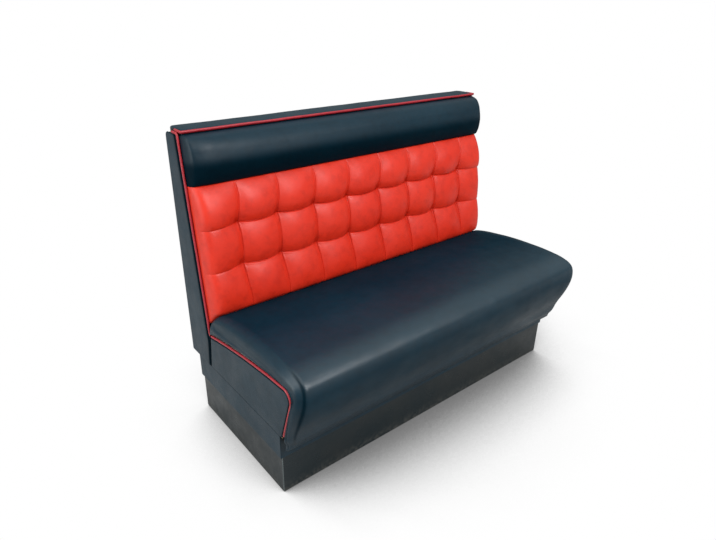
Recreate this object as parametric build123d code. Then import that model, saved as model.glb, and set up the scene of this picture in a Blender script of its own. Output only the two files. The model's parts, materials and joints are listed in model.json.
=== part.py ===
from build123d import *
import math
import os

# A free-standing restaurant booth bench: plinth, base rail, back unit and lift-out seat unit.
# X runs along the length, the front looks to -Y and Z is up.
# The origin is on the floor, under the middle of the overall box.
# A depth is the distance forward from the rear face of the back.

# Overall size
booth_length = 1228.0
booth_height = 968.0
booth_depth = 656.0
seat_height = 462.0

# Board, cover and piping stock
board_thickness = 18.0
front_board_thickness = 12.0
rear_board_thickness = 3.0
rear_cover_thickness = 2.0
side_cover_thickness = 4.0
strip_cover_thickness = 2.0
cushion_cover_thickness = 6.0
piping_radius = 3.75
fit_gap = 0.3
edge_round = 1.5
overrun = 20.0

# Plinth
plinth_top = 132.0
plinth_front_setback = 115.0
plinth_rear_setback = 44.0
plinth_end_inset = 10.5
floor_gap = 3.0
corner_block_side = 60.0
corner_block_height = 62.0

# Levellers
stem_radius = 5.0
stem_length = 74.0
stem_running_gap = 0.06
sleeve_wall = 2.5
sleeve_length = 24.0
sleeve_flange_radius = 12.0
sleeve_flange_thickness = 2.0
collar_flats = 17.0
collar_height = 6.0
pad_radius = 20.0
pad_height = 10.0
pad_chamfer = 2.0

# Base rail
base_height = 84.0
base_front_setback = 112.0
base_rear_setback = 38.0
base_end_inset = 4.5
base_cross_offset = 200.0
ledger_depth = 75.0
screw_radius = 3.0
screw_head_radius = 5.5
screw_bite = 40.0
screw_end_distance = 70.0
screws_per_rail = 4

# Side shape of the back: its front edge is the line that the side pipings follow
line_top_drop = 11.0
line_top_depth = 74.0
waist_drop = 124.0
waist_depth = 145.0
foot_depth = 131.0
line_setback = 4.0
line_top_round = 8.0
side_foot_gap = 3.0
side_top_gap = 4.0

# Back frame
lower_front_depth = 123.0
lower_front_step = 7.0
middle_rail_height = 70.0
seat_rail_height = 60.0
seat_rail_overlap = 8.0
top_rail_depth = 58.0

# Top cap and its piping
cap_thickness = 19.0
cap_crown = 2.0
cap_front_depth = 86.0
cap_end_inset = 14.0
cap_round = 5.0
top_piping_depth = 90.0
top_piping_drop = 5.0
top_piping_start_depth = 46.0
top_piping_bend = 4.2
side_piping_start_depth = 38.0
piping_end_inset = 5.0

# Pads of the back, drawn in towards their ends
pad_end_inset = 9.2
pad_end_shares = (0.0, 0.06, 0.22, 0.5, 1.0)

# Headroll: shares of its height, and proud distances as shares of its crest
headroll_height = 157.0
headroll_crest = 66.0
headroll_end_round = 30.0
headroll_shares = (
    (-0.026, 0.501),
    (0.008, 0.681),
    (0.081, 0.798),
    (0.395, 1.000),
    (0.814, 0.893),
    (0.968, 0.669),
    (1.000, 0.268),
)
headroll_lip_rise = 5.5
headroll_end_lip_drop = 1.8

# Curve of the puffs of the tufted panel
bulge_power = 0.7

# Tufted panel: pitch along the length, rows up the panel, proud distances from the piping line
tuft_pitch = 138.0
tuft_hem_drop = 84.0
tuft_end_round = 42.0
tuft_row_shares = (0.092, 0.416, 0.718, 1.0)
tuft_stations = (0.0, 0.14, 0.5, 0.86)
tuft_crest = 62.0
tuft_pleat = 52.0
tuft_fold = 51.0
tuft_node = 39.0
tuft_top = 35.0
tuft_bottom = 42.0
tie_radius = 1.5
tie_washer_radius = 9.0
tie_washer_thickness = 1.5

# Back fixings and the bevelled cleats that hook the seat to the back
bolt_radius = 4.0
bolt_offsets = (140.0, 420.0)
bolt_head_flats = 13.0
bolt_head_height = 5.5
bolt_nut_height = 6.5
washer_radius = 10.0
washer_thickness = 1.6
cleat_half_length = 500.0
cleat_drop = 38.0
cleat_height = 38.0
seat_cleat_height = 25.0
cleat_gap = 0.7

# Side shape of the seat: the line that the seat pipings follow
seat_end_inset = 2.0
seat_gap = 5.0
nose_padding = 37.0
nose_below_crown = 66.0
nose_round = 30.0
line_sag = 9.0
seat_foot_overhang = 16.0
seat_piping_rise = 16.0
seat_foot_gap = 1.0
felt_half = 4.0
front_panel_thickness = 12.0
front_panel_rise = 39.0
apron_drop = 36.0
apron_gap = 2.0
apron_thickness = 15.0
seat_rear_rail_depth = 142.0
centre_rail_height = 84.0

# Springs under the deck
spring_wire_radius = 2.0
spring_pitch = 150.0
spring_half_width = 24.0
spring_loops = 12
spring_bend = 9.0
saddle_cap = 2.0
saddle_gap = 2.0
saddle_width = 20.0
saddle_depth = 12.0

# Seat cushion: crowned section, as shares of its depth and of its height
cushion_rear_depth = 151.0
hem_gap = 0.6
cushion_end_round = 34.0
cushion_end_inset = 3.0
cushion_crown_rise = 5.0
cushion_bottom_drop = 4.0
cushion_foot_rise = 6.0
cushion_end_shares = (0.0, 0.08, 0.26, 0.55, 1.0)
cushion_crown_reach = 260.0
cushion_middle_share = 0.8
bevel_reach_share = 1.085
deck_shares = (
    (0.403, 0.965),
    (0.708, 0.995),
    (1.000, 0.990),
)
# Front roll, measured back from the overall depth as shares of its own depth
roll_depth = 110.0
roll_shares = (
    (0.376, 0.949),
    (0.083, 0.860),
    (0.026, 0.690),
    (0.188, 0.460),
    (0.445, 0.235),
    (0.565, 0.105),
    (0.744, 0.010),
)
# How far the two points of the rear bevel and then those points are drawn in at an end
draw_in_shares = (
    (0.00, 0.90),
    (0.10, 1.00),
    (0.00, 1.00),
    (0.00, 1.00),
    (0.05, 1.00),
    (0.40, 0.85),
    (0.80, 0.55),
    (1.00, 0.05),
    (0.90, 0.00),
    (0.55, 0.00),
    (0.30, 0.00),
    (0.05, 0.00),
)

# Places worked out from the sizes above
half_length = booth_length / 2
base_top = plinth_top + base_height
line_top = booth_height - line_top_drop
waist_height = seat_height - waist_drop
headroll_low = booth_height - headroll_height
tuft_low = seat_height - tuft_hem_drop
seat_rail_low = tuft_low - seat_rail_overlap
cleat_bevel_low = waist_height - cleat_drop
top_piping_height = booth_height - top_piping_drop
seat_piping_low = base_top + seat_piping_rise
front_panel_low = base_top + front_panel_rise
apron_low = base_top - apron_drop
base_front = booth_depth - base_front_setback
base_half = half_length - base_end_inset
plinth_half = half_length - plinth_end_inset
plinth_front = booth_depth - plinth_front_setback
side_inner = half_length - side_cover_thickness
stile_inner = side_inner - board_thickness
stile_rear = rear_cover_thickness + rear_board_thickness
cap_low = booth_height - cap_thickness
line_slope = (waist_depth - line_top_depth) / (line_top - waist_height)
line_scale = math.hypot(1.0, line_slope)
pad_half = half_length - pad_end_inset
tuft_columns = round(2 * pad_half / tuft_pitch)
inner_stile_offset = (1.5 + 0.5 * (tuft_columns % 2)) * tuft_pitch
back_piping_x = half_length - piping_end_inset
seat_half = half_length - seat_end_inset
seat_panel_outer = seat_half - side_cover_thickness
seat_panel_inner = seat_panel_outer - board_thickness
seat_piping_x = seat_half - side_cover_thickness
spring_count = int(2 * (seat_panel_inner - spring_half_width) / spring_pitch)
cushion_half = half_length - cushion_end_inset
nose_depth = booth_depth - nose_padding
nose_height = seat_height - nose_below_crown
seat_foot_depth = base_front + seat_foot_overhang
spring_rail_front = base_front + apron_gap
spring_rail_rear = spring_rail_front - board_thickness


def at(depth):
    """Y of a depth."""
    return booth_depth / 2 - depth


def point(x, place):
    """Point at x, from a (depth, height) pair."""
    return Vector(x, at(place[0]), place[1])


def board(x_low, x_high, rear, front, low, high):
    """Rectangular board between two x, two depths and two heights."""
    middle = Pos((x_low + x_high) / 2, at((rear + front) / 2), (low + high) / 2)
    return middle * Box(x_high - x_low, front - rear, high - low)


def outline(x, start, steps):
    """Face at x, whose steps are [end] for a line or [via, end] for an arc."""
    first = point(x, start)
    here = first
    edges = []
    for step in steps:
        there = point(x, step[-1])
        if len(step) == 1:
            edges.append(Line(here, there))
        else:
            edges.append(ThreePointArc(here, point(x, step[0]), there))
        here = there
    if here != first:
        edges.append(Line(here, first))
    return make_face(edges)


def slab(x_low, x_high, start, steps):
    """Board of constant section along x."""
    return extrude(outline(x_low, start, steps), amount=x_high - x_low, dir=(1, 0, 0))


def rod(x, depth, radius, low, high):
    """Upright round bar."""
    return Pos(x, at(depth), (low + high) / 2) * Cylinder(radius, high - low)


def hexagon(x, depth, flats, low, high):
    """Upright hexagonal bar, measured across its flats."""
    face = Pos(x, at(depth), low) * RegularPolygon(flats / math.sqrt(3), 6)
    return extrude(face, amount=high - low)


def mirrored(part):
    """The same piece at the other end of the booth."""
    return mirror(part, about=Plane.YZ)


def tube(path, radius):
    """Round tube along a path."""
    return sweep(Plane(path @ 0, z_dir=path % 0) * Circle(radius), path=path)


def group(pieces):
    """Separate solids of one node."""
    return Compound(children=[solid for piece in pieces for solid in piece.solids()])


# Lines of the side shapes

def line_depth(height):
    """Depth of the back's piping line above the waist."""
    return line_top_depth + (line_top - height) * line_slope


def lower_depth(height):
    """Depth of the back's front edge between the foot and the waist."""
    share = (waist_height - height) / (waist_height - base_top)
    return waist_depth - (waist_depth - foot_depth) * share


def line_place(height, offset):
    """Place at a height, on the back's piping line moved forward by an offset."""
    return (line_depth(height) + offset * line_scale, height)


def proud(height, distance):
    """Place that stands a distance proud of the back's piping line."""
    return (
        line_depth(height) + distance / line_scale,
        height + distance * line_slope / line_scale,
    )


def shifted(place, direction, distance):
    """Place moved along a direction."""
    return (place[0] + direction[0] * distance, place[1] + direction[1] * distance)


def seat_line(offset):
    """Places on the seat's piping line, moved outwards by an offset: rear, sag, top, nose, under and foot."""
    corner = (nose_depth, nose_height)
    foot = (seat_foot_depth, base_top)
    reach = math.dist(corner, foot)
    down = ((foot[0] - corner[0]) / reach, (foot[1] - corner[1]) / reach)
    outward = (-down[1], down[0])
    half_angle = math.acos(-down[0]) / 2
    tangent = nose_round / math.tan(half_angle)
    centre = (corner[0] - tangent, corner[1] - nose_round)
    middle = math.dist(corner, centre)
    nose = ((corner[0] - centre[0]) / middle, (corner[1] - centre[1]) / middle)
    rear = (waist_depth - line_setback + seat_gap, waist_height)
    sag = ((rear[0] + centre[0]) / 2, (waist_height + nose_height) / 2 + line_sag)
    return {
        "rear": (rear[0], rear[1] + offset),
        "sag": (sag[0], sag[1] + offset),
        "top": (centre[0], nose_height + offset),
        "nose": shifted(centre, nose, nose_round + offset),
        "under": shifted(centre, outward, nose_round + offset),
        "foot": shifted(foot, outward, offset),
        "down": down,
    }


def seat_line_at(height, offset):
    """Place on the front stretch of the seat's piping line at a height."""
    line = seat_line(offset)
    distance = (height - line["under"][1]) / line["down"][1]
    return shifted(line["under"], line["down"], distance)


def deck_height(depth, offset):
    """Height of the seat's piping line at a depth behind the nose."""
    line = seat_line(offset)
    rear, sag, top = line["rear"], line["sag"], line["top"]
    middle = ((rear[0] + top[0]) / 2, (rear[1] + top[1]) / 2)
    chord = math.dist(rear, top)
    rise = math.dist(sag, middle)
    radius = (chord * chord / 4 + rise * rise) / (2 * rise)
    lean = math.atan2(top[1] - rear[1], top[0] - rear[0])
    centre = (
        middle[0] + (radius - rise) * math.sin(lean),
        middle[1] - (radius - rise) * math.cos(lean),
    )
    return centre[1] + math.sqrt(radius * radius - (depth - centre[0]) ** 2)


# Plinth and levellers

def leveller_places():
    """Names and places of the four levellers."""
    inset = board_thickness + corner_block_side / 2
    depths = {"rear": plinth_rear_setback + inset, "front": plinth_front - inset}
    reach = plinth_half - inset
    ends = {"left": -reach, "right": reach}
    return {f"{row}_{end}": (ends[end], depths[row]) for row in depths for end in ends}


def block_low():
    """Underside of the corner blocks: the collar stops against the sleeve's flange."""
    return pad_height + collar_height + fit_gap + sleeve_flange_thickness


def plinth_screw_places():
    """Places of the screws that join the base rails to the plinth boards."""
    reach = plinth_half - screw_end_distance
    step = 2 * reach / (screws_per_rail - 1)
    rear_row = (plinth_rear_setback + base_rear_setback + board_thickness) / 2
    rows = (rear_row, plinth_front - board_thickness / 2)
    return [(step * number - reach, row) for row in rows for number in range(screws_per_rail)]


def screw_holes():
    """Clearance for every screw between base and plinth."""
    low = plinth_top - screw_bite
    holes = []
    for x, depth in plinth_screw_places():
        holes.append(rod(x, depth, screw_radius, low, base_top))
        holes.append(countersink(x, depth, fit_gap))
    return holes


def countersink(x, depth, gap):
    """Conical seat or head of a screw, flush with the top of the base."""
    height = screw_head_radius - screw_radius
    centre = Pos(x, at(depth), base_top - height / 2)
    return centre * Cone(screw_radius + gap, screw_head_radius + gap, height)


def plinth_parts():
    """Boards, corner blocks and sleeves of the plinth."""
    rear, front = plinth_rear_setback, plinth_front
    inner_rear, inner_front = rear + board_thickness, front - board_thickness
    front_board = board(-plinth_half, plinth_half, inner_front, front, floor_gap, plinth_top)
    rear_board = board(-plinth_half, plinth_half, rear, inner_rear, floor_gap, plinth_top)
    outer_edges = front_board.edges().filter_by(Axis.Z).group_by(Axis.Y)[0]
    front_board = fillet(outer_edges, edge_round)
    half_board = board_thickness / 2
    cross = []
    for x in (half_board - plinth_half, 0, plinth_half - half_board):
        low_x, high_x = x - half_board, x + half_board
        cross.append(board(low_x, high_x, inner_rear, inner_front, floor_gap, plinth_top))
    for hole in screw_holes():
        front_board -= hole
        rear_board -= hole
    return {
        "plinth_front_board": front_board,
        "plinth_rear_board": rear_board,
        "plinth_cross_boards": group(cross),
        "plinth_corner_blocks": group(corner_blocks()),
        "leveller_sleeves": group(sleeves()),
    }


def corner_blocks():
    """One drilled block behind each corner of the plinth."""
    half = corner_block_side / 2
    low = block_low()
    high = low + corner_block_height
    blocks = []
    for x, depth in leveller_places().values():
        block = board(x - half, x + half, depth - half, depth + half, low, high)
        block -= rod(x, depth, stem_radius + sleeve_wall, low - overrun, high + overrun)
        blocks.append(block)
    return blocks


def sleeves():
    """Flanged threaded sleeve in each corner block."""
    low = block_low()
    parts = []
    for x, depth in leveller_places().values():
        sleeve = rod(x, depth, stem_radius + sleeve_wall, low, low + sleeve_length)
        sleeve += rod(x, depth, sleeve_flange_radius, low - sleeve_flange_thickness, low)
        bore = stem_radius + stem_running_gap
        sleeve -= rod(x, depth, bore, 0, low + sleeve_length + overrun)
        parts.append(sleeve)
    return parts


def leveller_parts():
    """Stem and pad of each leveller."""
    parts = {}
    for name, (x, depth) in leveller_places().items():
        stem = rod(x, depth, stem_radius, pad_height, pad_height + stem_length)
        stem += hexagon(x, depth, collar_flats, pad_height, pad_height + collar_height)
        pad = rod(x, depth, pad_radius, 0, pad_height)
        rims = pad.edges().filter_by(GeomType.CIRCLE)
        parts[f"leveller_stem_{name}"] = stem
        parts[f"leveller_pad_{name}"] = chamfer(rims, pad_chamfer)
    return parts


# Base rail

def base_parts():
    """Rails, ledger, cover strips and screws of the base."""
    rear, front = base_rear_setback, base_front - strip_cover_thickness
    half = base_half - strip_cover_thickness
    inner_rear, inner_front = rear + board_thickness, front - board_thickness
    inner_half = half - board_thickness
    front_rail = board(-half, half, inner_front, front, plinth_top, base_top)
    rear_rail = board(-half, half, rear, inner_rear, plinth_top, base_top)
    end_rail = board(inner_half, half, inner_rear, inner_front, plinth_top, base_top)
    ledger_front = inner_rear + ledger_depth
    ledger_low = base_top - board_thickness
    ledger = board(-inner_half, inner_half, inner_rear, ledger_front, ledger_low, base_top)
    for hole in screw_holes():
        front_rail -= hole
        rear_rail -= hole
    for x in bolt_places():
        ledger -= rod(x, bolt_depth(), bolt_radius + fit_gap, ledger_low - overrun, base_top + overrun)
    half_board = board_thickness / 2
    cross = []
    for x in (-base_cross_offset, base_cross_offset):
        cross.append(board(x - half_board, x + half_board, ledger_front, inner_front, plinth_top, base_top))
    front_strip = board(-base_half, base_half, front, base_front, plinth_top, base_top)
    front_strip = fillet(front_strip.edges().filter_by(Axis.Z).group_by(Axis.Y)[0], edge_round)
    end_strip = board(half, base_half, rear, front, plinth_top, base_top)
    return {
        "base_front_rail": front_rail,
        "base_rear_rail": rear_rail,
        "base_end_rails": group([end_rail, mirrored(end_rail)]),
        "base_ledger": ledger,
        "base_cross_rails": group(cross),
        "base_cover_front": front_strip,
        "base_cover_ends": group([end_strip, mirrored(end_strip)]),
        "base_screws": group(base_screws()),
    }


def base_screws():
    """Countersunk screws down through the base rails into the plinth."""
    screws = []
    for x, depth in plinth_screw_places():
        shank = rod(x, depth, screw_radius, plinth_top - screw_bite, base_top)
        screws.append(shank + countersink(x, depth, 0))
    return screws


# Back frame

def bolt_places():
    """X of the bolts between back and base."""
    return [side * offset for side in (-1, 1) for offset in bolt_offsets]


def bolt_depth():
    """Depth of the bolts: the middle of the ledger."""
    return base_rear_setback + board_thickness + ledger_depth / 2


def back_side(x_low, x_high, rear, low, high):
    """Full side shape of the back."""
    steps = [
        [(rear, high)],
        [line_place(high, -line_setback)],
        [line_place(waist_height, -line_setback)],
        [(lower_depth(low) - line_setback, low)],
    ]
    return slab(x_low, x_high, (rear, low), steps)


def raked_board(x_low, x_high, low, high, rear_offset, front_offset):
    """Board parallel to the piping line between two heights."""
    steps = [
        [proud(high, rear_offset)],
        [proud(high, front_offset)],
        [proud(low, front_offset)],
    ]
    return slab(x_low, x_high, proud(low, rear_offset), steps)


def front_board():
    """Raked board that carries the headroll and the tufted panel."""
    low = waist_height + lower_front_step
    rear_offset = -line_setback - front_board_thickness
    steps = [
        [line_place(cap_low, rear_offset)],
        [line_place(cap_low, -line_setback)],
        [line_place(low, -line_setback)],
    ]
    sheet = slab(-stile_inner, stile_inner, line_place(low, rear_offset), steps)
    for x, height in tuft_nodes():
        sheet -= tie_bar(x, height, tie_radius + fit_gap, -line_setback - overrun, 0)
    return sheet


def inner_stile(x):
    """Upright between bottom rail and top rail."""
    half = board_thickness / 2
    behind = -line_setback - front_board_thickness
    low = base_top + board_thickness
    high = cap_low - board_thickness
    lower_rear = lower_front_depth - front_board_thickness
    step = waist_height + lower_front_step
    steps = [
        [(stile_rear, high)],
        [line_place(high, behind)],
        [line_place(step, behind)],
        [(lower_rear, step)],
        [(lower_rear, low)],
    ]
    return slab(x - half, x + half, (stile_rear, low), steps)


def bays():
    """Clear spans between the stiles."""
    half = board_thickness / 2
    left, right = inner_stile_offset - half, inner_stile_offset + half
    return ((-stile_inner, -right), (-left, left), (right, stile_inner))


def bay_rails(low, height):
    """Rails behind the front board, one in each bay."""
    front_offset = -line_setback - front_board_thickness
    rear_offset = front_offset - board_thickness
    return [raked_board(*bay, low, low + height, rear_offset, front_offset) for bay in bays()]


def back_frame_parts():
    """Stiles, rails and boards of the back."""
    stile = back_side(stile_inner, side_inner, stile_rear, base_top, cap_low)
    bottom_front = lower_front_depth - front_board_thickness
    bottom_rail = board(
        -stile_inner, stile_inner, stile_rear, bottom_front, base_top, base_top + board_thickness
    )
    for x in bolt_places():
        bottom_rail -= rod(x, bolt_depth(), bolt_radius + fit_gap, base_top - overrun, base_top + 2 * overrun)
    top_rail = board(
        -stile_inner, stile_inner, stile_rear, top_rail_depth, cap_low - board_thickness, cap_low
    )
    lower_board = board(
        -stile_inner, stile_inner, bottom_front, lower_front_depth, base_top, waist_height + lower_front_step
    )
    middle_low = headroll_low - middle_rail_height / 2
    rear_board = board(
        -side_inner, side_inner, rear_cover_thickness, stile_rear, base_top + side_foot_gap, cap_low
    )
    return {
        "back_end_stiles": group([stile, mirrored(stile)]),
        "back_inner_stiles": group([inner_stile(-inner_stile_offset), inner_stile(inner_stile_offset)]),
        "back_bottom_rail": bottom_rail,
        "back_top_rail": top_rail,
        "back_cross_rails": group(
            bay_rails(middle_low, middle_rail_height) + bay_rails(seat_rail_low, seat_rail_height)
        ),
        "back_front_board": front_board(),
        "back_lower_board": lower_board,
        "back_rear_board": rear_board,
        "back_cleat": cleat(),
        "back_bolts": group(back_bolts() + back_bolt_nuts()),
    }


def cleat():
    """Bevelled strip on the lower board: its top slopes down towards the back."""
    front = lower_front_depth + board_thickness
    low = cleat_bevel_low - cleat_height
    steps = [
        [(front, low)],
        [(front, cleat_bevel_low + board_thickness)],
        [(lower_front_depth, cleat_bevel_low)],
    ]
    return slab(-cleat_half_length, cleat_half_length, (lower_front_depth, low), steps)


def back_bolts():
    """Bolts and their top washers between bottom rail and ledger."""
    bearing = base_top + board_thickness
    low = base_top - board_thickness - bolt_nut_height - 2 * washer_thickness
    bolts = []
    for x in bolt_places():
        bolt = rod(x, bolt_depth(), bolt_radius, low, bearing)
        bolt += rod(x, bolt_depth(), washer_radius, bearing, bearing + washer_thickness)
        head_low = bearing + washer_thickness
        bolt += hexagon(x, bolt_depth(), bolt_head_flats, head_low, head_low + bolt_head_height)
        bolts.append(bolt)
    return bolts


def back_bolt_nuts():
    """Washers and nuts under the ledger."""
    bearing = base_top - board_thickness
    bore = bolt_radius + stem_running_gap
    nuts = []
    for x in bolt_places():
        nut = rod(x, bolt_depth(), washer_radius, bearing - washer_thickness, bearing)
        nut_high = bearing - washer_thickness
        nut += hexagon(x, bolt_depth(), bolt_head_flats, nut_high - bolt_nut_height, nut_high)
        nut -= rod(x, bolt_depth(), bore, bearing - overrun, bearing)
        nuts.append(nut)
    return nuts


# Back covers, cap and pipings

def back_cover_parts():
    """Side covers, outside back, cap and pipings."""
    side_low = base_top + side_foot_gap
    side_high = cap_low + side_top_gap
    side = back_side(side_inner, half_length, 0, side_low, side_high)
    top_edges = side.edges().filter_by(Axis.X).group_by(Axis.Z)[-1].sort_by(Axis.Y)
    side = fillet(top_edges[0], line_top_round - line_setback)
    rear_cover = board(-side_inner, side_inner, 0, rear_cover_thickness, side_low, cap_low)
    return {
        "back_side_cover_right": side,
        "back_side_cover_left": mirrored(side),
        "back_rear_cover": rear_cover,
        "back_top_cap": top_cap(),
        "back_piping_top": tube(top_piping_path(), piping_radius),
        "back_piping_right": tube(side_piping_path(), piping_radius),
        "back_piping_left": mirrored(tube(side_piping_path(), piping_radius)),
    }


def top_cap():
    """Padded strip along the top, slightly crowned."""
    half = half_length - cap_end_inset
    rear = rear_cover_thickness
    high = booth_height - cap_crown
    middle = ((rear + cap_front_depth) / 2, booth_height)
    steps = [[(rear, high)], [middle, (cap_front_depth, high)], [(cap_front_depth, cap_low)]]
    cap = slab(-half, half, (rear, cap_low), steps)
    return fillet(cap.edges().filter_by(Axis.X).group_by(Axis.Z)[-1], cap_round)


def top_piping_path():
    """Piping round the front and the ends of the cap."""
    reach = half_length - cap_end_inset + piping_radius + fit_gap
    corners = [
        point(-reach, (top_piping_start_depth, top_piping_height)),
        point(-reach, (top_piping_depth, top_piping_height)),
        point(reach, (top_piping_depth, top_piping_height)),
        point(reach, (top_piping_start_depth, top_piping_height)),
    ]
    return FilletPolyline(*corners, radius=top_piping_bend)


def side_piping_path():
    """Piping along the top and down the front edge of a side cover."""
    corners = [
        point(back_piping_x, (side_piping_start_depth, line_top)),
        point(back_piping_x, (line_top_depth, line_top)),
        point(back_piping_x, proud(waist_height, 0)),
    ]
    return FilletPolyline(*corners, radius=line_top_round)


# Soft forms of the back

def round_share(share):
    """Height share of a quarter round at a share of its radius from the end."""
    return math.sqrt(1.0 - (1.0 - share) ** 2)


def headroll_section(x, share, trim, over):
    """Section of the headroll: share draws it in, trim thins it, over pushes its rear back."""
    low = headroll_low + trim
    high = cap_low - fit_gap - trim
    thickness = (headroll_crest + line_setback) * share * (1.0 - trim / headroll_crest)
    places = []
    for up, forward in headroll_shares:
        places.append(proud(low + up * (high - low), forward * thickness - line_setback))
    lip_rise = headroll_lip_rise - trim if share == 1.0 else -headroll_end_lip_drop
    lip = (places[-1][0], high + lip_rise)
    steps = [
        [(places[0][0], low)],
        [places[1], places[2]],
        [places[3], places[4]],
        [places[5], lip],
        [(lip[0], high)],
        [(proud(high, -line_setback)[0] - over, high)],
    ]
    return outline(x, (proud(low, -line_setback)[0] - over, low), steps)


def end_stations(half, radius):
    """Stations from one rounded end to the other: place and height share."""
    right = [(half - share * radius, max(round_share(share), pad_end_shares[1])) for share in pad_end_shares]
    return [(-x, share) for x, share in right] + right[::-1]


def headroll_solid(trim, over):
    """Headroll with rounded ends."""
    stations = end_stations(pad_half - trim, headroll_end_round)
    sections = [headroll_section(x, share, trim, over) for x, share in stations]
    return loft(sections, ruled=True)


def panel_heights():
    """Heights of the tufted panel's row lines, bottom first."""
    span = headroll_low - tuft_low
    return [tuft_low + share * span for share in tuft_row_shares]


def tuft_nodes():
    """X and height of the tufting nodes."""
    heights = panel_heights()[1:-1]
    reach = (tuft_columns - 2) / 2 * tuft_pitch
    return [(number * tuft_pitch - reach, height) for height in heights for number in range(tuft_columns - 1)]


def column_stations(half):
    """Stations across the tufted panel: place, bulge share and end share."""
    reach = (tuft_columns - 2) / 2 * tuft_pitch
    stations = []
    for column in range(tuft_columns - 2):
        for share in tuft_stations:
            place = (column + share) * tuft_pitch - reach
            stations.append((place, math.sin(math.pi * share) ** bulge_power, 1.0))
    stations.append((reach, 0.0, 1.0))
    edge = half - reach - tuft_end_round
    right = []
    for share in tuft_stations[1:]:
        right.append((reach + edge * share, math.sin(math.pi * share / 2) ** bulge_power, 1.0))
    for share in pad_end_shares[::-1]:
        right.append((half - share * tuft_end_round, 1.0, max(round_share(share), pad_end_shares[1])))
    left = [(-x, bulge, end) for x, bulge, end in right[::-1]]
    return left + stations + right


def hem_places():
    """Ends of the slope under the tufted panel, between its hem and its lowest puffs."""
    return proud(tuft_low, 0), proud(panel_heights()[0], tuft_bottom)


def tuft_section(x, bulge, end, trim, over):
    """Section of the tufted panel between its lower hem and the headroll."""
    thinned = 1.0 - trim / tuft_crest

    def out(distance):
        return (distance + line_setback) * end * thinned - line_setback

    heights = panel_heights()
    fold = out(tuft_node + (tuft_fold - tuft_node) * bulge)
    crest = out(tuft_pleat + (tuft_crest - tuft_pleat) * bulge)
    low = tuft_low + trim
    high = headroll_low - fit_gap - trim
    rear = -line_setback - over
    steps = [[(proud(low, out(0))[0], low)], [proud(heights[0], out(tuft_bottom))]]
    ends = [out(tuft_bottom), fold, fold, out(tuft_top)]
    for row in range(len(heights) - 1):
        middle = (heights[row] + heights[row + 1]) / 2
        end_height = heights[row + 1]
        if row == len(heights) - 2:
            steep = line_slope / line_scale
            end_height = high - ends[row + 1] * steep
        steps.append([proud(middle, crest), proud(end_height, ends[row + 1])])
    steps.append([(proud(high, rear)[0], high)])
    return outline(x, (proud(low, rear)[0], low), steps)


def tuft_solid(trim, over):
    """Tufted panel, ruled from station to station."""
    stations = column_stations(pad_half - trim)
    sections = [tuft_section(*station, trim, over) for station in stations]
    return loft(sections, ruled=True)


def tie_bar(x, height, radius, rear_offset, front_offset):
    """Bar square to the piping line."""
    start = point(x, proud(height, rear_offset))
    finish = point(x, proud(height, front_offset))
    return extrude(Plane(start, z_dir=finish - start) * Circle(radius), amount=front_offset - rear_offset)


def tufting_ties():
    """Twine from each node to a washer behind the front board."""
    behind = -line_setback - front_board_thickness
    front = tuft_node - cushion_cover_thickness - fit_gap
    ties = []
    for x, height in tuft_nodes():
        tie = tie_bar(x, height, tie_radius, behind - tie_washer_thickness, front)
        tie += tie_bar(x, height, tie_washer_radius, behind - tie_washer_thickness, behind)
        ties.append(tie)
    return ties


def back_pad_parts():
    """Foam and cover of the headroll and of the tufted panel."""
    trim = cushion_cover_thickness
    headroll_foam = headroll_solid(trim, 0)
    headroll_cover = headroll_solid(0, 0) - headroll_solid(trim, overrun)
    tuft_foam = tuft_solid(trim, 0)
    tuft_cover = tuft_solid(0, 0) - tuft_solid(trim, overrun)
    for x, height in tuft_nodes():
        tuft_foam -= tie_bar(x, height, tie_radius + fit_gap, -overrun, tuft_crest)
    return {
        "headroll_foam": headroll_foam,
        "headroll_cover": headroll_cover,
        "tufted_foam": tuft_foam,
        "tufted_cover": tuft_cover,
        "tufting_ties": group(tufting_ties()),
    }


# Seat unit

def seat_side(x_low, x_high, low):
    """Full side shape of the seat, inside its pipings."""
    offset = -line_setback
    line = seat_line(offset)
    foot_front = seat_line_at(low, offset)
    rear_low = (lower_depth(low) - line_setback + seat_gap, low)
    steps = [
        [line["rear"]],
        [line["sag"], line["top"]],
        [line["nose"], line["under"]],
        [foot_front],
    ]
    return slab(x_low, x_high, rear_low, steps)


def band(x_low, x_high, start_depth, low, inner, outer):
    """Sheet that follows the seat's piping line from a depth round the nose to a height."""
    inside, outside = seat_line(inner), seat_line(outer)

    def via(offset):
        middle = (start_depth + outside["top"][0]) / 2
        return (middle, deck_height(middle, offset))

    steps = [
        [via(outer), outside["top"]],
        [outside["nose"], outside["under"]],
        [seat_line_at(low, outer)],
        [seat_line_at(low, inner)],
        [inside["under"]],
        [inside["nose"], inside["top"]],
        [via(inner), (start_depth, deck_height(start_depth, inner))],
    ]
    return slab(x_low, x_high, (start_depth, deck_height(start_depth, outer)), steps)


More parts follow.
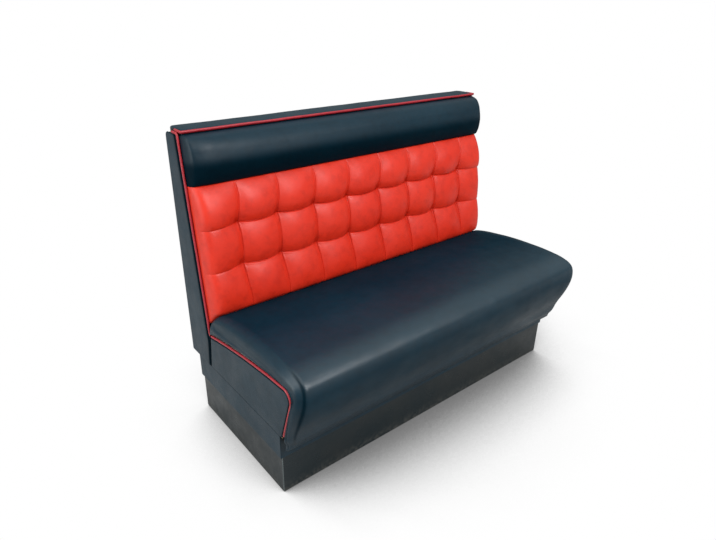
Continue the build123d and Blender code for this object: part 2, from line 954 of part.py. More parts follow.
def seat_frame_parts():
    """End panels, rails, boards and cleat of the seat."""
    inner = -line_setback
    end_panel = seat_side(seat_panel_inner, seat_panel_outer, base_top)
    rail_rear = seat_rear_rail_depth
    rail_front = rail_rear + board_thickness
    rail_high = rail_top(rail_rear)
    rear_rail = board(-seat_panel_inner, seat_panel_inner, rail_rear, rail_front, base_top, rail_high)
    spring_rail = board(
        -seat_panel_inner,
        seat_panel_inner,
        spring_rail_rear,
        spring_rail_front,
        base_top,
        rail_top(spring_rail_rear),
    )
    apron = board(
        -seat_panel_inner,
        seat_panel_inner,
        spring_rail_front,
        spring_rail_front + apron_thickness,
        apron_low,
        front_panel_low,
    )
    half_board = board_thickness / 2
    centre_rail = board(
        -half_board,
        half_board,
        rail_front,
        spring_rail_rear,
        base_top,
        base_top + centre_rail_height,
    )
    panel = band(
        -seat_panel_inner,
        seat_panel_inner,
        spring_rail_front,
        front_panel_low,
        inner - front_panel_thickness,
        inner,
    )
    felt_reach = seat_panel_outer - piping_radius - fit_gap
    felt = band(-felt_reach, felt_reach, rail_rear, felt_low(), -felt_half, felt_half)
    return {
        "seat_end_panels": group([end_panel, mirrored(end_panel)]),
        "seat_rear_rail": rear_rail,
        "seat_spring_rail": spring_rail,
        "seat_apron_rail": apron,
        "seat_centre_rail": centre_rail,
        "seat_front_panel": panel,
        "seat_deck_felt": felt,
        "seat_cleat": seat_cleat(),
    }


def felt_low():
    """Height where the felt's inner face would reach the apron rail."""
    line = seat_line(-felt_half)
    distance = (spring_rail_front + apron_thickness + fit_gap - line["under"][0]) / line["down"][0]
    return line["under"][1] + distance * line["down"][1]


def wire_offset():
    """Offset of the spring wire's centre from the seat's piping line."""
    return -felt_half - saddle_gap - saddle_cap - spring_wire_radius


def rail_top(rear):
    """Top of a rail under the springs, clear of the wire over its lower edge."""
    return deck_height(rear, wire_offset()) - spring_wire_radius - fit_gap


def seat_cleat():
    """Bevelled strip on the rear rail that hooks over the back's cleat."""
    rear = seat_rear_rail_depth - board_thickness
    front = seat_rear_rail_depth
    low = cleat_bevel_low + rear - lower_front_depth + cleat_gap
    steps = [
        [(rear, low + seat_cleat_height)],
        [(front, low + seat_cleat_height)],
        [(front, low + board_thickness)],
    ]
    start = (rear, low)
    return slab(-cleat_half_length, cleat_half_length, start, steps)


def spring_places():
    """X of the springs."""
    reach = (spring_count - 1) / 2 * spring_pitch
    return [number * spring_pitch - reach for number in range(spring_count)]


def spring_ends():
    """Depths of the springs' first and last bars: the middles of their rails."""
    half_board = board_thickness / 2
    return seat_rear_rail_depth + half_board, spring_rail_rear + half_board


def spring_path(x):
    """Zigzag of bars and round bends, arched like the deck."""
    first, last = spring_ends()
    step = (last - first) / spring_loops
    corners = [point(x - spring_half_width, (first, deck_height(first, wire_offset())))]
    for loop in range(spring_loops):
        side = spring_half_width if loop % 2 == 0 else -spring_half_width
        for depth in (first + loop * step, first + (loop + 1) * step):
            corners.append(point(x + side, (depth, deck_height(depth, wire_offset()))))
    corners.append(point(x - side, (last, deck_height(last, wire_offset()))))
    return FilletPolyline(*corners, radius=spring_bend)


def spring_parts():
    """Springs and the saddles that hold their ends."""
    springs = [tube(spring_path(x), spring_wire_radius) for x in spring_places()]
    saddles = []
    for x in spring_places():
        for depth in spring_ends():
            saddles.append(saddle(x, depth, rail_top(depth - board_thickness / 2)))
    return {"seat_springs": group(springs), "seat_spring_saddles": group(saddles)}


def saddle(x, depth, low):
    """Grooved clip over the end bar of a spring."""
    centre = deck_height(depth, wire_offset())
    high = centre + spring_wire_radius + saddle_cap
    half_width, half_depth = saddle_width / 2, saddle_depth / 2
    clip = board(x - half_width, x + half_width, depth - half_depth, depth + half_depth, low, high)
    groove = Pos(x, at(depth), centre) * Rot(0, 90, 0) * Cylinder(spring_wire_radius, saddle_width + overrun)
    return clip - groove


def seat_cover_parts():
    """End covers and pipings of the seat."""
    cover = seat_side(seat_panel_outer, seat_half, base_top + seat_foot_gap)
    piping = tube(seat_piping_path(), piping_radius)
    return {
        "seat_end_cover_right": cover,
        "seat_end_cover_left": mirrored(cover),
        "seat_piping_right": piping,
        "seat_piping_left": mirrored(piping),
    }


def seat_piping_path():
    """Piping over the top and down the front of a seat end."""
    line = seat_line(0)
    x = seat_piping_x
    start = line["rear"][0] + piping_radius
    middle = (start + line["top"][0]) / 2
    top = ThreePointArc(
        point(x, (start, deck_height(start, 0))),
        point(x, (middle, deck_height(middle, 0))),
        point(x, line["top"]),
    )
    nose = ThreePointArc(point(x, line["top"]), point(x, line["nose"]), point(x, line["under"]))
    front = Line(point(x, line["under"]), point(x, seat_line_at(seat_piping_low, 0)))
    return Wire([top, nose, front])


def cushion_stations(half, radius):
    """Stations along the cushion: place, inset from the full crown and middle share."""
    right = []
    for share in cushion_end_shares:
        inset = radius * (1.0 - round_share(share))
        right.append((half - share * radius, inset, 0.0))
    right.append((half - cushion_crown_reach, 0.0, cushion_middle_share))
    left = [(-x, inset, middle) for x, inset, middle in right]
    return left + [(0.0, 0.0, 1.0)] + right[::-1]


def bevel_places():
    """Ends of the cushion's rear bevel, which lies just under the slope of the tufted panel."""
    low, high = hem_places()
    slope = (high[1] - low[1]) / (high[0] - low[0])
    drop = hem_gap * math.hypot(1.0, slope)
    front_depth = low[0] + bevel_reach_share * (high[0] - low[0])
    depths = (cushion_rear_depth, front_depth)
    return [(depth, low[1] + (depth - low[0]) * slope - drop) for depth in depths]


def crown_places(inset, middle):
    """Places of the cushion's crowned outline, drawn in by an inset."""
    low = apron_low - cushion_bottom_drop
    reach = booth_depth - cushion_rear_depth
    rise = seat_height - cushion_crown_rise - low
    outer = [(cushion_rear_depth + share * (reach - roll_depth), up) for share, up in deck_shares]
    outer += [(booth_depth - share * roll_depth, up) for share, up in roll_shares]
    places = bevel_places()
    for depth, up in outer:
        forward = (depth - cushion_rear_depth) / reach
        dome = cushion_crown_rise * middle * 4 * forward * (1 - forward)
        places.append((depth, low + up * rise + dome))
    drawn = zip(places, draw_in_shares)
    return [(place[0] - inset * back, place[1] - inset * down) for place, (back, down) in drawn]


def thinned(places, distance):
    """Places moved inwards, square to the line through their neighbours."""
    last = len(places) - 1
    moved = []
    for number, place in enumerate(places):
        before, after = places[max(number - 1, 0)], places[min(number + 1, last)]
        span = math.dist(before, after)
        inward = ((after[1] - before[1]) / span, (before[0] - after[0]) / span)
        moved.append(shifted(place, inward, distance))
    return moved


def cushion_section(x, inset, middle, trim, over):
    """Section of the cushion: crown outside, seat line inside."""
    crown = thinned(crown_places(inset, middle), trim)
    rear = cushion_rear_depth + trim
    inner = felt_half + fit_gap - over
    line = seat_line(inner)
    middle_depth = (rear + line["top"][0]) / 2
    apron_front = spring_rail_front + apron_thickness + fit_gap - over
    foot = base_top + cushion_foot_rise
    steps = [
        [crown[1]],
        [crown[2], crown[3]],
        [crown[4], crown[5]],
        [crown[6], crown[7]],
        [crown[8], crown[9]],
        [crown[10], crown[11]],
        [(apron_front, crown[11][1])],
        [(apron_front, foot)],
        [seat_line_at(foot, inner)],
        [line["under"]],
        [line["nose"], line["top"]],
        [(middle_depth, deck_height(middle_depth, inner)), (rear, deck_height(rear, inner))],
    ]
    return outline(x, (rear, crown[0][1]), steps)


def cushion_solid(trim, over):
    """Seat cushion with rounded ends."""
    stations = cushion_stations(cushion_half - trim, cushion_end_round - trim)
    sections = [cushion_section(*station, trim, over) for station in stations]
    return loft(sections, ruled=True)


def cushion_parts():
    """Foam and cover of the seat."""
    foam = cushion_solid(cushion_cover_thickness, 0)
    return {
        "seat_foam": foam,
        "seat_cushion_cover": cushion_solid(0, 0) - cushion_solid(cushion_cover_thickness, overrun),
    }


def all_parts():
    """Every node of the booth."""
    parts = {}
    for family in (
        plinth_parts,
        leveller_parts,
        base_parts,
        back_frame_parts,
        back_cover_parts,
        back_pad_parts,
        seat_frame_parts,
        spring_parts,
        seat_cover_parts,
        cushion_parts,
    ):
        parts.update(family())
    return parts


os.makedirs("parts", exist_ok=True)
for node, shape in all_parts().items():
    export_step(shape, f"parts/{node}.step")
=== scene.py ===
import json
import math

import bmesh
import bpy
import numpy as np
from mathutils import Matrix, Vector

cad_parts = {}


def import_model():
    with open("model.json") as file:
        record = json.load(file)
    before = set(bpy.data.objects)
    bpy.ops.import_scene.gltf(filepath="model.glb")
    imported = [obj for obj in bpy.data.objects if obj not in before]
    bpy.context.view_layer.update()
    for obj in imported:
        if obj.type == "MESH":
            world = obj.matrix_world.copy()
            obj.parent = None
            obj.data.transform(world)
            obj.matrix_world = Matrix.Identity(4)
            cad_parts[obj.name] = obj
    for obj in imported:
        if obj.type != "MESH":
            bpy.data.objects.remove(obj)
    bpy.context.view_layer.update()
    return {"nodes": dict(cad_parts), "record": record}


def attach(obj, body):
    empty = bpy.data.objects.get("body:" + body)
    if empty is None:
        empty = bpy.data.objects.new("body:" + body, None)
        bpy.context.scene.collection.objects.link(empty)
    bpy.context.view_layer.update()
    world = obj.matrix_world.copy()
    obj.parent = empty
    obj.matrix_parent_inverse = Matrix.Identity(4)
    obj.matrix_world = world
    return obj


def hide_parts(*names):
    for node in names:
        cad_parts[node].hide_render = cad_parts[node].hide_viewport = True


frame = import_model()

# Looks of the restaurant booth bench. Lengths are in millimetres until a mesh is made.
# A depth is the distance forward from the rear face of the back.

MM = 0.001
REAR_Y = 328.0
QUARTER = math.pi / 2
SIDES = ((-1, "left"), (1, "right"))

# Back: the line that its side pipings follow, down to the waist, and the set-in foot below it
LINE_TOP, LINE_TOP_DEPTH = 957.0, 74.0
WAIST, WAIST_DEPTH = 338.0, 145.0
FOOT_DROP, FOOT_SET_IN = 122.0, 14.0
LINE_SLOPE = (WAIST_DEPTH - LINE_TOP_DEPTH) / (LINE_TOP - WAIST)
LINE_SCALE = math.hypot(1.0, LINE_SLOPE)
LEAN = LINE_SLOPE / LINE_SCALE
SETBACK = 4.0
PAD_HALF = 604.8
BACK_BOARD = 610.5

# Tufted panel: pleats along it, rows up it, and how far it stands proud of the line
PITCH = 138.0
NODES_X = [(number - 3.5) * PITCH for number in range(8)]
HEM = 378.0
ROWS = (417.8, 558.1, 688.9, 810.6)
FOLDS = np.array(ROWS[1:3])
TUFT_END, TUFT_ROUND = 46.0, 0.62
HEM_PROUD, TOP_PROUD = 51.0, 35.0
FOLD_PROUD, FOLD_SWELL, FOLD_END_SWELL = 37.5, 11.5, 9.0
CREST_PROUD, CREST_SWELL = 50.5, 15.0
ROW_SKEWS, ROW_RISES = (0.72, 0.86, 0.86), (3.0, 0.0, 0.0)
PANEL_TOP_LIMIT = 811.0
FOLD_SAG = 6.5
DEEPEST_CUT = 6.5

# Headroll: shares of its height, and proud distances as shares of its crest
ROLL_LOW, ROLL_HIGH = 811.4, 948.6
ROLL_TOP_LIMIT = 955.0
ROLL_END = 11.0
ROLL_PROUD = 70.0
ROLL_SHARES = np.array([
    (-0.026, 0.501), (0.008, 0.681), (0.081, 0.798), (0.22, 0.925), (0.395, 1.0),
    (0.60, 0.985), (0.814, 0.893), (0.968, 0.669), (1.0, 0.268),
])

# Top cap and pipings
CAP_HALF = 600.0
CAP_LOW = 949.2
CAP_TUCK = 9.0
TOP_PIPING = (604.05, 963.0)
BACK_PIPING_X, BACK_PIPING_RADIUS = 609, 3.5
SEAT_PIPING_X, SEAT_PIPING_RADIUS = 608.0, 3.75

# Covers of the back's rear and of the ends, the latter measured from the face of their boards
REAR_HALF, WRAP_LOW = 609.6, 219
COVER_SUNK, COVER_OUT = 0.3, 3.1
PLAIN_THICK, LIP_WIDTH = 5.5, 14.5

# Base
BASE_LOW, BASE_HIGH = 132.3, 215.8
BASE_REAR, BASE_FRONT = 38.2, 543.6
BASE_FACE = 609.3
BASE_TOP = 216.4

# Seat: the arc of its piping line from the rear to the top, its nose and its fall to the foot
SEAT_REAR, SEAT_TOP = np.array([146.0, 338.0]), np.array([577.6, 396.0])
SEAT_ARC_HEIGHT = 376.0
NOSE_CENTRE, NOSE_UNDER = np.array([577.6, 366.0]), np.array([606.1, 356.7])
NOSE_RADIUS = 30.0
FALL_WAY = np.array([-0.3115, -0.9503])
SEAT_BOARD = 608.5

# Cushion: its section in shares of the deck's reach, of the front roll's depth and of its rise
CUSHION_HALF, CUSHION_END = 611.0, 34.0
CUSHION_REAR, CUSHION_FRONT = 151.0, 656.0
CUSHION_LOW, CUSHION_RISE = 176.0, 281.0
CUSHION_FOOT = 561.3
CROWN_RISE, CROWN_REACH = 5.0, 260.0
DECK_REACH, ROLL_DEPTH = 395.0, 110.0
CUSHION_START = [(151.0, 389.8), (180.7, 425.5)]
DECK_SHARES = ((0.403, 0.965), (0.708, 0.995), (1.0, 0.990))
FRONT_SHARES = (
    (0.376, 0.949), (0.083, 0.860), (0.026, 0.690), (0.188, 0.460), (0.445, 0.235),
    (0.565, 0.105), (0.744, 0.010),
)
DRAW_IN = np.array([
    (0, 0.9), (0.1, 1), (0, 1), (0, 1), (0.05, 1), (0.4, 0.85), (0.8, 0.55), (1, 0.05),
    (0.9, 0), (0.55, 0), (0.3, 0), (0.05, 0),
])


def line_depth(height):
    """Depth of the back's piping line at a height."""
    return LINE_TOP_DEPTH + (LINE_TOP - height) * LINE_SLOPE


def lower_depth(height):
    """Depth of the same edge below the waist."""
    return WAIST_DEPTH - FOOT_SET_IN * (WAIST - height) / FOOT_DROP


def proud(height, distance):
    """Depth and height of places that stand proud of the back's piping line."""
    return line_depth(height) + distance / LINE_SCALE, height + distance * LEAN


def panel_points(x, height, distance):
    """Places along the length that stand proud of the back's piping line."""
    return np.stack(np.broadcast_arrays(x, *proud(height, distance)), axis=-1)


def smooth(values, low, high):
    """Soft step from 0 at low to 1 at high."""
    share = np.clip((values - low) / (high - low), 0.0, 1.0)
    return share * share * (3 - 2 * share)


def bell(values, width):
    """Soft hump, 1 at zero."""
    return np.exp(-(values / width) ** 2)


def dent(values, above, below):
    """Soft hump with a width of its own on each side of zero."""
    return np.where(values < 0, bell(values, below), bell(values, above))


def unit(vectors):
    """The same directions, each of length 1."""
    return vectors / np.linalg.norm(vectors, axis=-1, keepdims=True)


def travelled(path, power=1.0):
    """Distance along a path at each of its points, with each step raised to a power."""
    steps = np.linalg.norm(np.diff(path, axis=0), axis=1) ** power
    return np.concatenate([[0], np.cumsum(steps)])


def ripple(points, scale, seed, octaves=3):
    """Soft wandering values about zero over places in mm, the same in each run."""
    rng = np.random.default_rng(seed)
    total = np.zeros(points.shape[:-1])
    size = 0.3
    for _ in range(octaves):
        for _ in range(6):
            way = rng.normal(size=3)
            way *= 2 * math.pi * rng.uniform(0.7, 1.3) / (scale * np.linalg.norm(way))
            total += size * np.sin(points @ way + rng.uniform(0, 2 * math.pi))
        scale *= 0.5
        size *= 0.5
    return total


def spread(length, step, edge):
    """Distances from 0 to length, close together at both ends."""
    near = [0.0, 0.08, 0.25, 0.5, 0.8, 1.2, 1.8, 3.0]
    start = [share * edge for share in near if share * edge < length / 2.2]
    inner = length - 2 * start[-1]
    count = max(2, round(inner / step))
    middle = [start[-1] + inner * number / count for number in range(1, count)]
    return np.array(start + middle + [length - place for place in start[::-1]])


def curve_through(points, per_span):
    """Weights that carry values at points to samples of a smooth curve through them."""
    last = len(points) - 1
    knots = travelled(points, 0.7)
    own = np.eye(last + 1)
    rows = []
    for span, steps in enumerate(per_span):
        width = knots[span + 1] - knots[span]
        for s in np.arange(steps + (span == last - 1)) / steps:
            row = (2 * s ** 3 - 3 * s ** 2 + 1) * own[span]
            row += (3 * s ** 2 - 2 * s ** 3) * own[span + 1]
            for place, factor in ((span, s ** 3 - 2 * s ** 2 + s), (span + 1, s ** 3 - s ** 2)):
                before, after = max(place - 1, 0), min(place + 1, last)
                tangent = factor * width / (knots[after] - knots[before])
                row += tangent * (own[after] - own[before])
            rows.append(row)
    return np.array(rows)


def arc_half(half, radius):
    """Half the length of an arc that runs along a pad and round both its ends."""
    return half - radius + radius * QUARTER


def round_end(arc, half, radius, power=1.0):
    """Places along the length on such an arc, and the cosine of its turn at the ends."""
    flat = half - radius
    turn = np.clip((np.abs(arc) - flat) / radius, 0, QUARTER)
    x = np.sign(arc) * (np.minimum(np.abs(arc), flat) + radius * np.sin(turn) ** power)
    return x, np.cos(turn)


def dense_ends(half, edge, close, wide):
    """Places from end to end of an arc, close together near both."""
    return np.concatenate([
        np.linspace(-half, edge - half, close)[:-1],
        np.linspace(edge - half, half - edge, wide),
        np.linspace(half - edge, half, close)[1:],
    ])


# Meshes

def placed(name, data):
    """New object in the scene."""
    piece = bpy.data.objects.new(name, data)
    bpy.context.scene.collection.objects.link(piece)
    return piece


def new_mesh(name, coords, faces):
    """New mesh from places in metres."""
    mesh = bpy.data.meshes.new(name)
    mesh.from_pydata(coords, [], faces)
    return mesh


def new_object(name, points, faces, material, **tones):
    """Smooth mesh from places in mm, given as x, depth and height."""
    flat = np.asarray(points, float).reshape(-1, 3)
    coords = np.column_stack([flat[:, 0], REAR_Y - flat[:, 1], flat[:, 2]]) * MM
    mesh = new_mesh(name, coords.tolist(), faces)
    mesh.polygons.foreach_set("use_smooth", [True] * len(mesh.polygons))
    for label, values in tones.items():
        layer = mesh.attributes.new(label, "FLOAT", "POINT")
        layer.data.foreach_set("value", np.asarray(values, np.float32).ravel())
    mesh.validate()
    mesh.materials.append(material)
    work = bmesh.new()
    work.from_mesh(mesh)
    bmesh.ops.recalc_face_normals(work, faces=work.faces)
    work.to_mesh(mesh)
    work.free()
    return placed(name, mesh)


def grid_faces(rows, columns):
    """Quads of a grid whose points are numbered row by row."""
    a = np.arange((rows - 1) * columns).reshape(-1, columns)[:, :-1].ravel()
    return np.column_stack([a, a + 1, a + columns + 1, a + columns]).tolist()


def border(rows, columns):
    """Numbers of the points round a grid."""
    grid = np.arange(rows * columns).reshape(rows, columns)
    sides = grid[0], grid[1:, -1], grid[-1, -2::-1], grid[-2:0:-1, 0]
    return np.concatenate(sides).tolist()


def sheet(name, points, material, **tones):
    """Closed piece: a grid of points with one flat face across its border."""
    rows, columns = points.shape[:2]
    faces = grid_faces(rows, columns) + [border(rows, columns)]
    return new_object(name, points, faces, material, **tones)


def tube_faces(count, ring, start=0, loop=False):
    """Faces of a tube numbered ring by ring, which has two end faces or joins up to a loop."""
    faces = []
    for number in range(count - 1 + loop):
        a, b = (start + place % count * ring for place in (number, number + 1))
        for turn in range(ring):
            after = (turn + 1) % ring
            faces.append((a + turn, a + after, b + after, b + turn))
    last = start + (count - 1) * ring
    ends = [range(start, start + ring), range(last, last + ring)]
    return faces if loop else faces + ends


def finish_piece(piece, body, slot, *nodes):
    """Puts a piece in its body and hides the nodes that it stands for; its slot is not used."""
    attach(piece, body)
    if nodes:
        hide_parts(*nodes)
    return piece


# Cloth

CLOTH = {
    "quality": 4,
    "mass": 0.3,
    "tension_stiffness": 18,
    "compression_stiffness": 12,
    "shear_stiffness": 6,
    "bending_stiffness": 4.0,
    "use_pressure": True,
    "vertex_group_mass": "held",
    "pin_stiffness": 1.2,
}
CLOTH_FRAMES = 16
PAD_PRESSURE = -4.0


def swell(points, pins, pressure, cap, slack):
    """How far a grid of cloth over a pad moves under pressure, in mm, with its pins held."""
    flat = points.reshape(-1, 3)
    mesh = new_mesh("swelling", (flat * MM).tolist(), grid_faces(*points.shape[:2]))
    piece = placed("swelling", mesh)
    group = piece.vertex_groups.new(name="held")
    levels = np.round(pins.ravel(), 2)
    for level in np.unique(levels):
        if level > 0:
            group.add(np.flatnonzero(levels == level).tolist(), float(level), "REPLACE")
    cloth = piece.modifiers.new("cloth", "CLOTH")
    for key, value in CLOTH.items():
        setattr(cloth.settings, key, value)
    cloth.settings.uniform_pressure_force = pressure
    cloth.settings.shrink_min = -slack
    cloth.settings.effector_weights.gravity = 0.0
    cloth.collision_settings.use_collision = False
    cloth.point_cache.frame_start = 1
    cloth.point_cache.frame_end = CLOTH_FRAMES
    scene = bpy.context.scene
    for number in range(1, CLOTH_FRAMES + 1):
        scene.frame_set(number)
    result = piece.evaluated_get(bpy.context.evaluated_depsgraph_get())
    moved = np.zeros(flat.size)
    result.to_mesh().vertices.foreach_get("co", moved)
    moved = moved.reshape(-1, 3) / MM - flat
    result.to_mesh_clear()
    bpy.data.objects.remove(piece)
    bpy.data.meshes.remove(mesh)
    scene.frame_set(1)
    reach = np.linalg.norm(moved, axis=1, keepdims=True)
    moved *= cap * np.tanh(reach / cap) / np.maximum(reach, 1e-9)
    return moved.reshape(points.shape)


def held(points, low, high, aside):
    """Pins of a grid: 1 on its first and last rows and on its outer columns, 0 inside."""
    pins = np.zeros(points.shape[:2])
    pins[:low] = pins[-high:] = 1
    pins[:, :aside] = pins[:, -aside:] = 1
    return pins


def swell_grid(points, pins, cap):
    """Swelling of a grid, worked out on every second of its points and carried to the rest."""
    kept = []
    for count in points.shape[:2]:
        places = np.linspace(0, count - 1, (count - 1) // 2 + 1)
        kept.append(np.unique(np.round(places).astype(int)))
    some = np.ix_(*kept)
    moved = swell(points[some], pins[some], PAD_PRESSURE, cap, 0.0)
    ways = []
    for count, places in zip(points.shape, kept):
        numbers = np.arange(len(places), dtype=float)
        ways += [numbers, np.interp(np.arange(count), places, numbers)]
    return carried(moved, *ways)


def carried(values, down, down_wanted, across, across_wanted):
    """Values of a grid carried to the places of another."""
    values = resample(values, down, down_wanted).transpose(1, 0, 2)
    return resample(values, across, across_wanted).transpose(1, 0, 2)


def resample(values, places, wanted):
    """Rows of values at even places carried smoothly to wanted ones."""
    step = places[1] - places[0]
    last = len(places) - 1
    share = np.clip((wanted - places[0]) / step, 0, len(places) - 1.001)
    low = share.astype(int)
    t = (share - low)[:, None]
    flat = values.reshape(len(places), -1)
    p0, p1 = flat[np.maximum(low - 1, 0)], flat[low]
    p2, p3 = flat[np.minimum(low + 1, last)], flat[np.minimum(low + 2, last)]
    cubic = 2 * p0 - 5 * p1 + 4 * p2 - p3 + t * (3 * (p1 - p2) + p3 - p0)
    out = p1 + 0.5 * t * (p2 - p0 + t * cubic)
    return out.reshape((len(wanted),) + values.shape[1:])


# Tufted panel

def tuft_shape(arc, height):
    """Soft shape of the panel over a grid of arc places and heights."""
    x, turn = round_end(arc, PAD_HALF, TUFT_END, TUFT_ROUND)
    end = np.maximum(turn, 0.0) ** TUFT_ROUND
    flat_half, last = PAD_HALF - TUFT_END, NODES_X[-1]
    far, column = np.abs(x), np.mod(x + last, PITCH) / PITCH
    outer = np.clip((far - last) / (flat_half - last), 0, 1)
    soft = np.where(far < last, np.sin(math.pi * column), np.sin(QUARTER * outer))
    bulge = soft ** 0.85
    end_swell = FOLD_END_SWELL * smooth(far, last + 15, flat_half)
    fold = FOLD_PROUD + FOLD_SWELL * bulge + end_swell
    crest = CREST_PROUD + CREST_SWELL * bulge
    starts, stops = (HEM_PROUD, fold, fold), (fold, fold, TOP_PROUD)
    rows = zip(ROWS, ROWS[1:], starts, stops, ROW_SKEWS, ROW_RISES)
    p = np.zeros_like(arc * height)
    for low, high, start, stop, power, rise in rows:
        share = np.clip((height - low) / (high - low), 0, 1)
        skew = share ** power
        hump = (4 * skew * (1 - skew)) ** 0.85
        inner = start + (stop - start) * share + (crest + rise - (start + stop) / 2) * hump
        p = np.where((height >= low) & (height <= high), inner, p)
    hem_share = np.clip((height - HEM) / (ROWS[0] - HEM), 0, 1)
    p = np.where(height < ROWS[0], HEM_PROUD * hem_share, p)
    sag = np.zeros_like(p)
    for line in FOLDS:
        sag -= FOLD_SAG * soft * bell(height - line, 42.0)
    return x, height + sag, (p + SETBACK) * end - SETBACK, end


def nearest_pleat(x):
    """Signed distance to the nearest pleat and its number."""
    lines = np.array(NODES_X)
    number = np.argmin(np.abs(x[..., None] - lines), axis=-1)
    return x - lines[number], number


def nearest_fold(height):
    """Distance to the nearest cross fold."""
    return np.min(np.abs(height[..., None] - FOLDS), axis=-1)


def tuft_detail(x, height):
    """Pleats, folds and dimples: each a step down from one puff to the lip of the next, with
    painted shade along them.
    """
    (gap, number), near = nearest_pleat(x), nearest_fold(height)
    far, last = np.abs(x), NODES_X[-1]
    low_fold, high_fold = FOLDS
    low_row = height < low_fold
    middle_row = (height > low_fold) & (height < high_fold)
    row = np.where(low_row, 0, np.where(middle_row, 1, 2))
    top_row = row == 2
    rng = np.random.default_rng(11)
    vary, second, bow = (rng.uniform(low, high, size=(8, 3))[number, row]
                         for low, high in ((0.8, 1.2), (4.0, 6.5), (1.0, 3.2)))

    # Pleats
    low_step = 2.6 + 1.6 * smooth(-near, -70, 0)
    step = np.where(middle_row, 2.9, np.where(low_row, low_step, 1.7)) * vary
    step = step + 1.6 * np.exp(-near / 26.0)
    step *= smooth(height, HEM + 2, HEM + 30) * (1 - 0.35 * smooth(height, ROWS[3] - 30, ROWS[3]))
    reach = np.where(top_row, 4.0, 9.0) + np.where(top_row, 9.0, 6.0) * np.exp(-near / 30.0)
    lift = -step * dent(gap, 1.25, reach)
    lift += np.where(top_row, 0.6, 0.32) * step * bell(gap - 3.4, 2.1)
    lift += np.where(top_row, 0.55, 0.0) * bell(gap + second, 1.3) * smooth(near, 25, 60)
    # Painted shade along each pleat.
    tone = np.where(top_row, 0.12, 0.2) * bell(gap + 0.5, 1.3) * np.clip(step / 3, 0, 1)

    # Cross folds, with their puckers and dimples at the nodes
    drop = np.zeros_like(lift)
    end_fade = 1.0 - 0.85 * smooth(far, last + 8, PAD_HALF - 45)
    fade = np.where(far < last, 1.0, end_fade) * (0.6 + 0.4 * bell(gap, 30.0))
    for line in FOLDS:
        away = height - line
        lift -= 2.8 * dent(away, 10.0, 1.8) * fade
        lift += 1.3 * bell(away + 4.4, 2.6) * fade
        # Painted shade along each fold.
        tone += 0.12 * bell(away - 0.6, 1.6) * fade
        drop -= 3.4 * bell(away - 4.5, 5.0) * fade
        radius, way = np.hypot(gap, away), np.arctan2(away, gap)
        pucker = np.cos(way * (4 + number % 3) + number * 1.7)
        pucker = pucker * (radius / 13) * bell(radius, 15.0)
        lift += 0.45 * pucker - 1.6 * bell(radius, 9.0)
        corner = np.hypot(gap + 6.5, (away - 5.0) * 0.85)
        lift -= 3.0 * bell(corner, 15.0)
        # Painted shade up and to the left of each node.
        tone += 1.0 * bell(corner, 10.5)

    # Bow of the pleats
    def arch(low, high):
        return np.sin(math.pi * np.clip((height - low) / (high - low), 0, 1))

    bend = np.where(middle_row, 0.5 * arch(low_fold, high_fold), arch(high_fold, ROWS[3]))
    bend = np.where(low_row, arch(ROWS[0], low_fold), bend)
    side = bow * bend * bell(gap, 26.0)
    side += 8.0 * smooth(height, high_fold + 15, ROWS[3] - 25) * bell(gap, 45.0)
    side += 9.0 * smooth(-height, 15 - low_fold, -HEM - 25) * bell(gap, 45.0)
    lift = np.where(lift < 0, -DEEPEST_CUT * np.tanh(-lift / DEEPEST_CUT), lift)
    return lift, side, drop, np.clip(tone, 0, 1)


def between(low, high, after_low, before_high, step):
    """Places from low to just before high: close ones near both and even ones between."""
    first = [low + value for value in after_low]
    final = [high - value for value in before_high[::-1]]
    count = max(2, round((final[0] - first[-1]) / step))
    inner = np.linspace(first[-1], final[0], count + 1)[1:-1]
    return first + inner.tolist() + final[:-1]


def tuft_lines():
    """Arc places and heights of the fine grid, close together at creases."""
    half = arc_half(PAD_HALF, TUFT_END)
    near, far = [0, 1.0, 2.1, 3.3, 4.7, 6.4, 8.6, 11.5, 15.5], [0, 2, 5, 9]
    stops = [-half] + NODES_X + [half]
    across = []
    for low, high in zip(stops, stops[1:]):
        after = near if low > -half else far
        before = near if high < half else far
        across += between(low, high, after, before, 5.0)
    up = []
    for row, (low, high) in enumerate(zip((HEM,) + ROWS, ROWS)):
        after = near if row > 1 else [0, 3]
        before = near if row in (1, 2) else [0, 1.5, 4]
        up += between(low, high, after, before, 4.6)
    return np.array(across + [half]), np.array(up + [ROWS[3]])


def tufted_panel(material):
    """Red panel of nine columns and three rows of puffs."""
    half = arc_half(PAD_HALF, TUFT_END)
    coarse_arc, coarse_up = np.linspace(-half, half, 185), np.linspace(HEM, ROWS[3], 64)
    arc, height = np.meshgrid(coarse_arc, coarse_up)
    x, z, p, _ = tuft_shape(arc, height)
    points = panel_points(x, z, p)
    gap, away = nearest_pleat(x)[0], nearest_fold(height)
    pins = 0.75 * bell(gap, 6.0) + 0.75 * bell(away, 6.0)
    pins = np.maximum(pins, 1.4 * bell(np.hypot(gap, away), 9.0)).clip(0, 1)
    pins = np.maximum(pins, held(points, 4, 2, 4))
    moved = swell(points, pins, pressure=-3.5, cap=6.0, slack=0.002)
    fine_arc, fine_up = tuft_lines()
    moved = carried(moved, coarse_up, fine_up, coarse_arc, fine_arc)
    arc, height = np.meshgrid(fine_arc, fine_up)
    x, z, p, end = tuft_shape(arc, height)
    lift, side, drop, tone = tuft_detail(x, height)
    keep = np.clip(end * 1.6 - 0.2, 0, 1)
    p = p + lift * keep + 0.5 * ripple(panel_points(x, z, p), 90, 5) * keep
    points = panel_points(x + side * keep, z + drop * keep, p) + moved
    points[0] = panel_points(x[0], z[0], -SETBACK)
    points[-1] = panel_points(x[-1], np.minimum(z[-1] + 0.3, PANEL_TOP_LIMIT), -SETBACK)
    return sheet("tufted_panel", points, material, crease=tone)


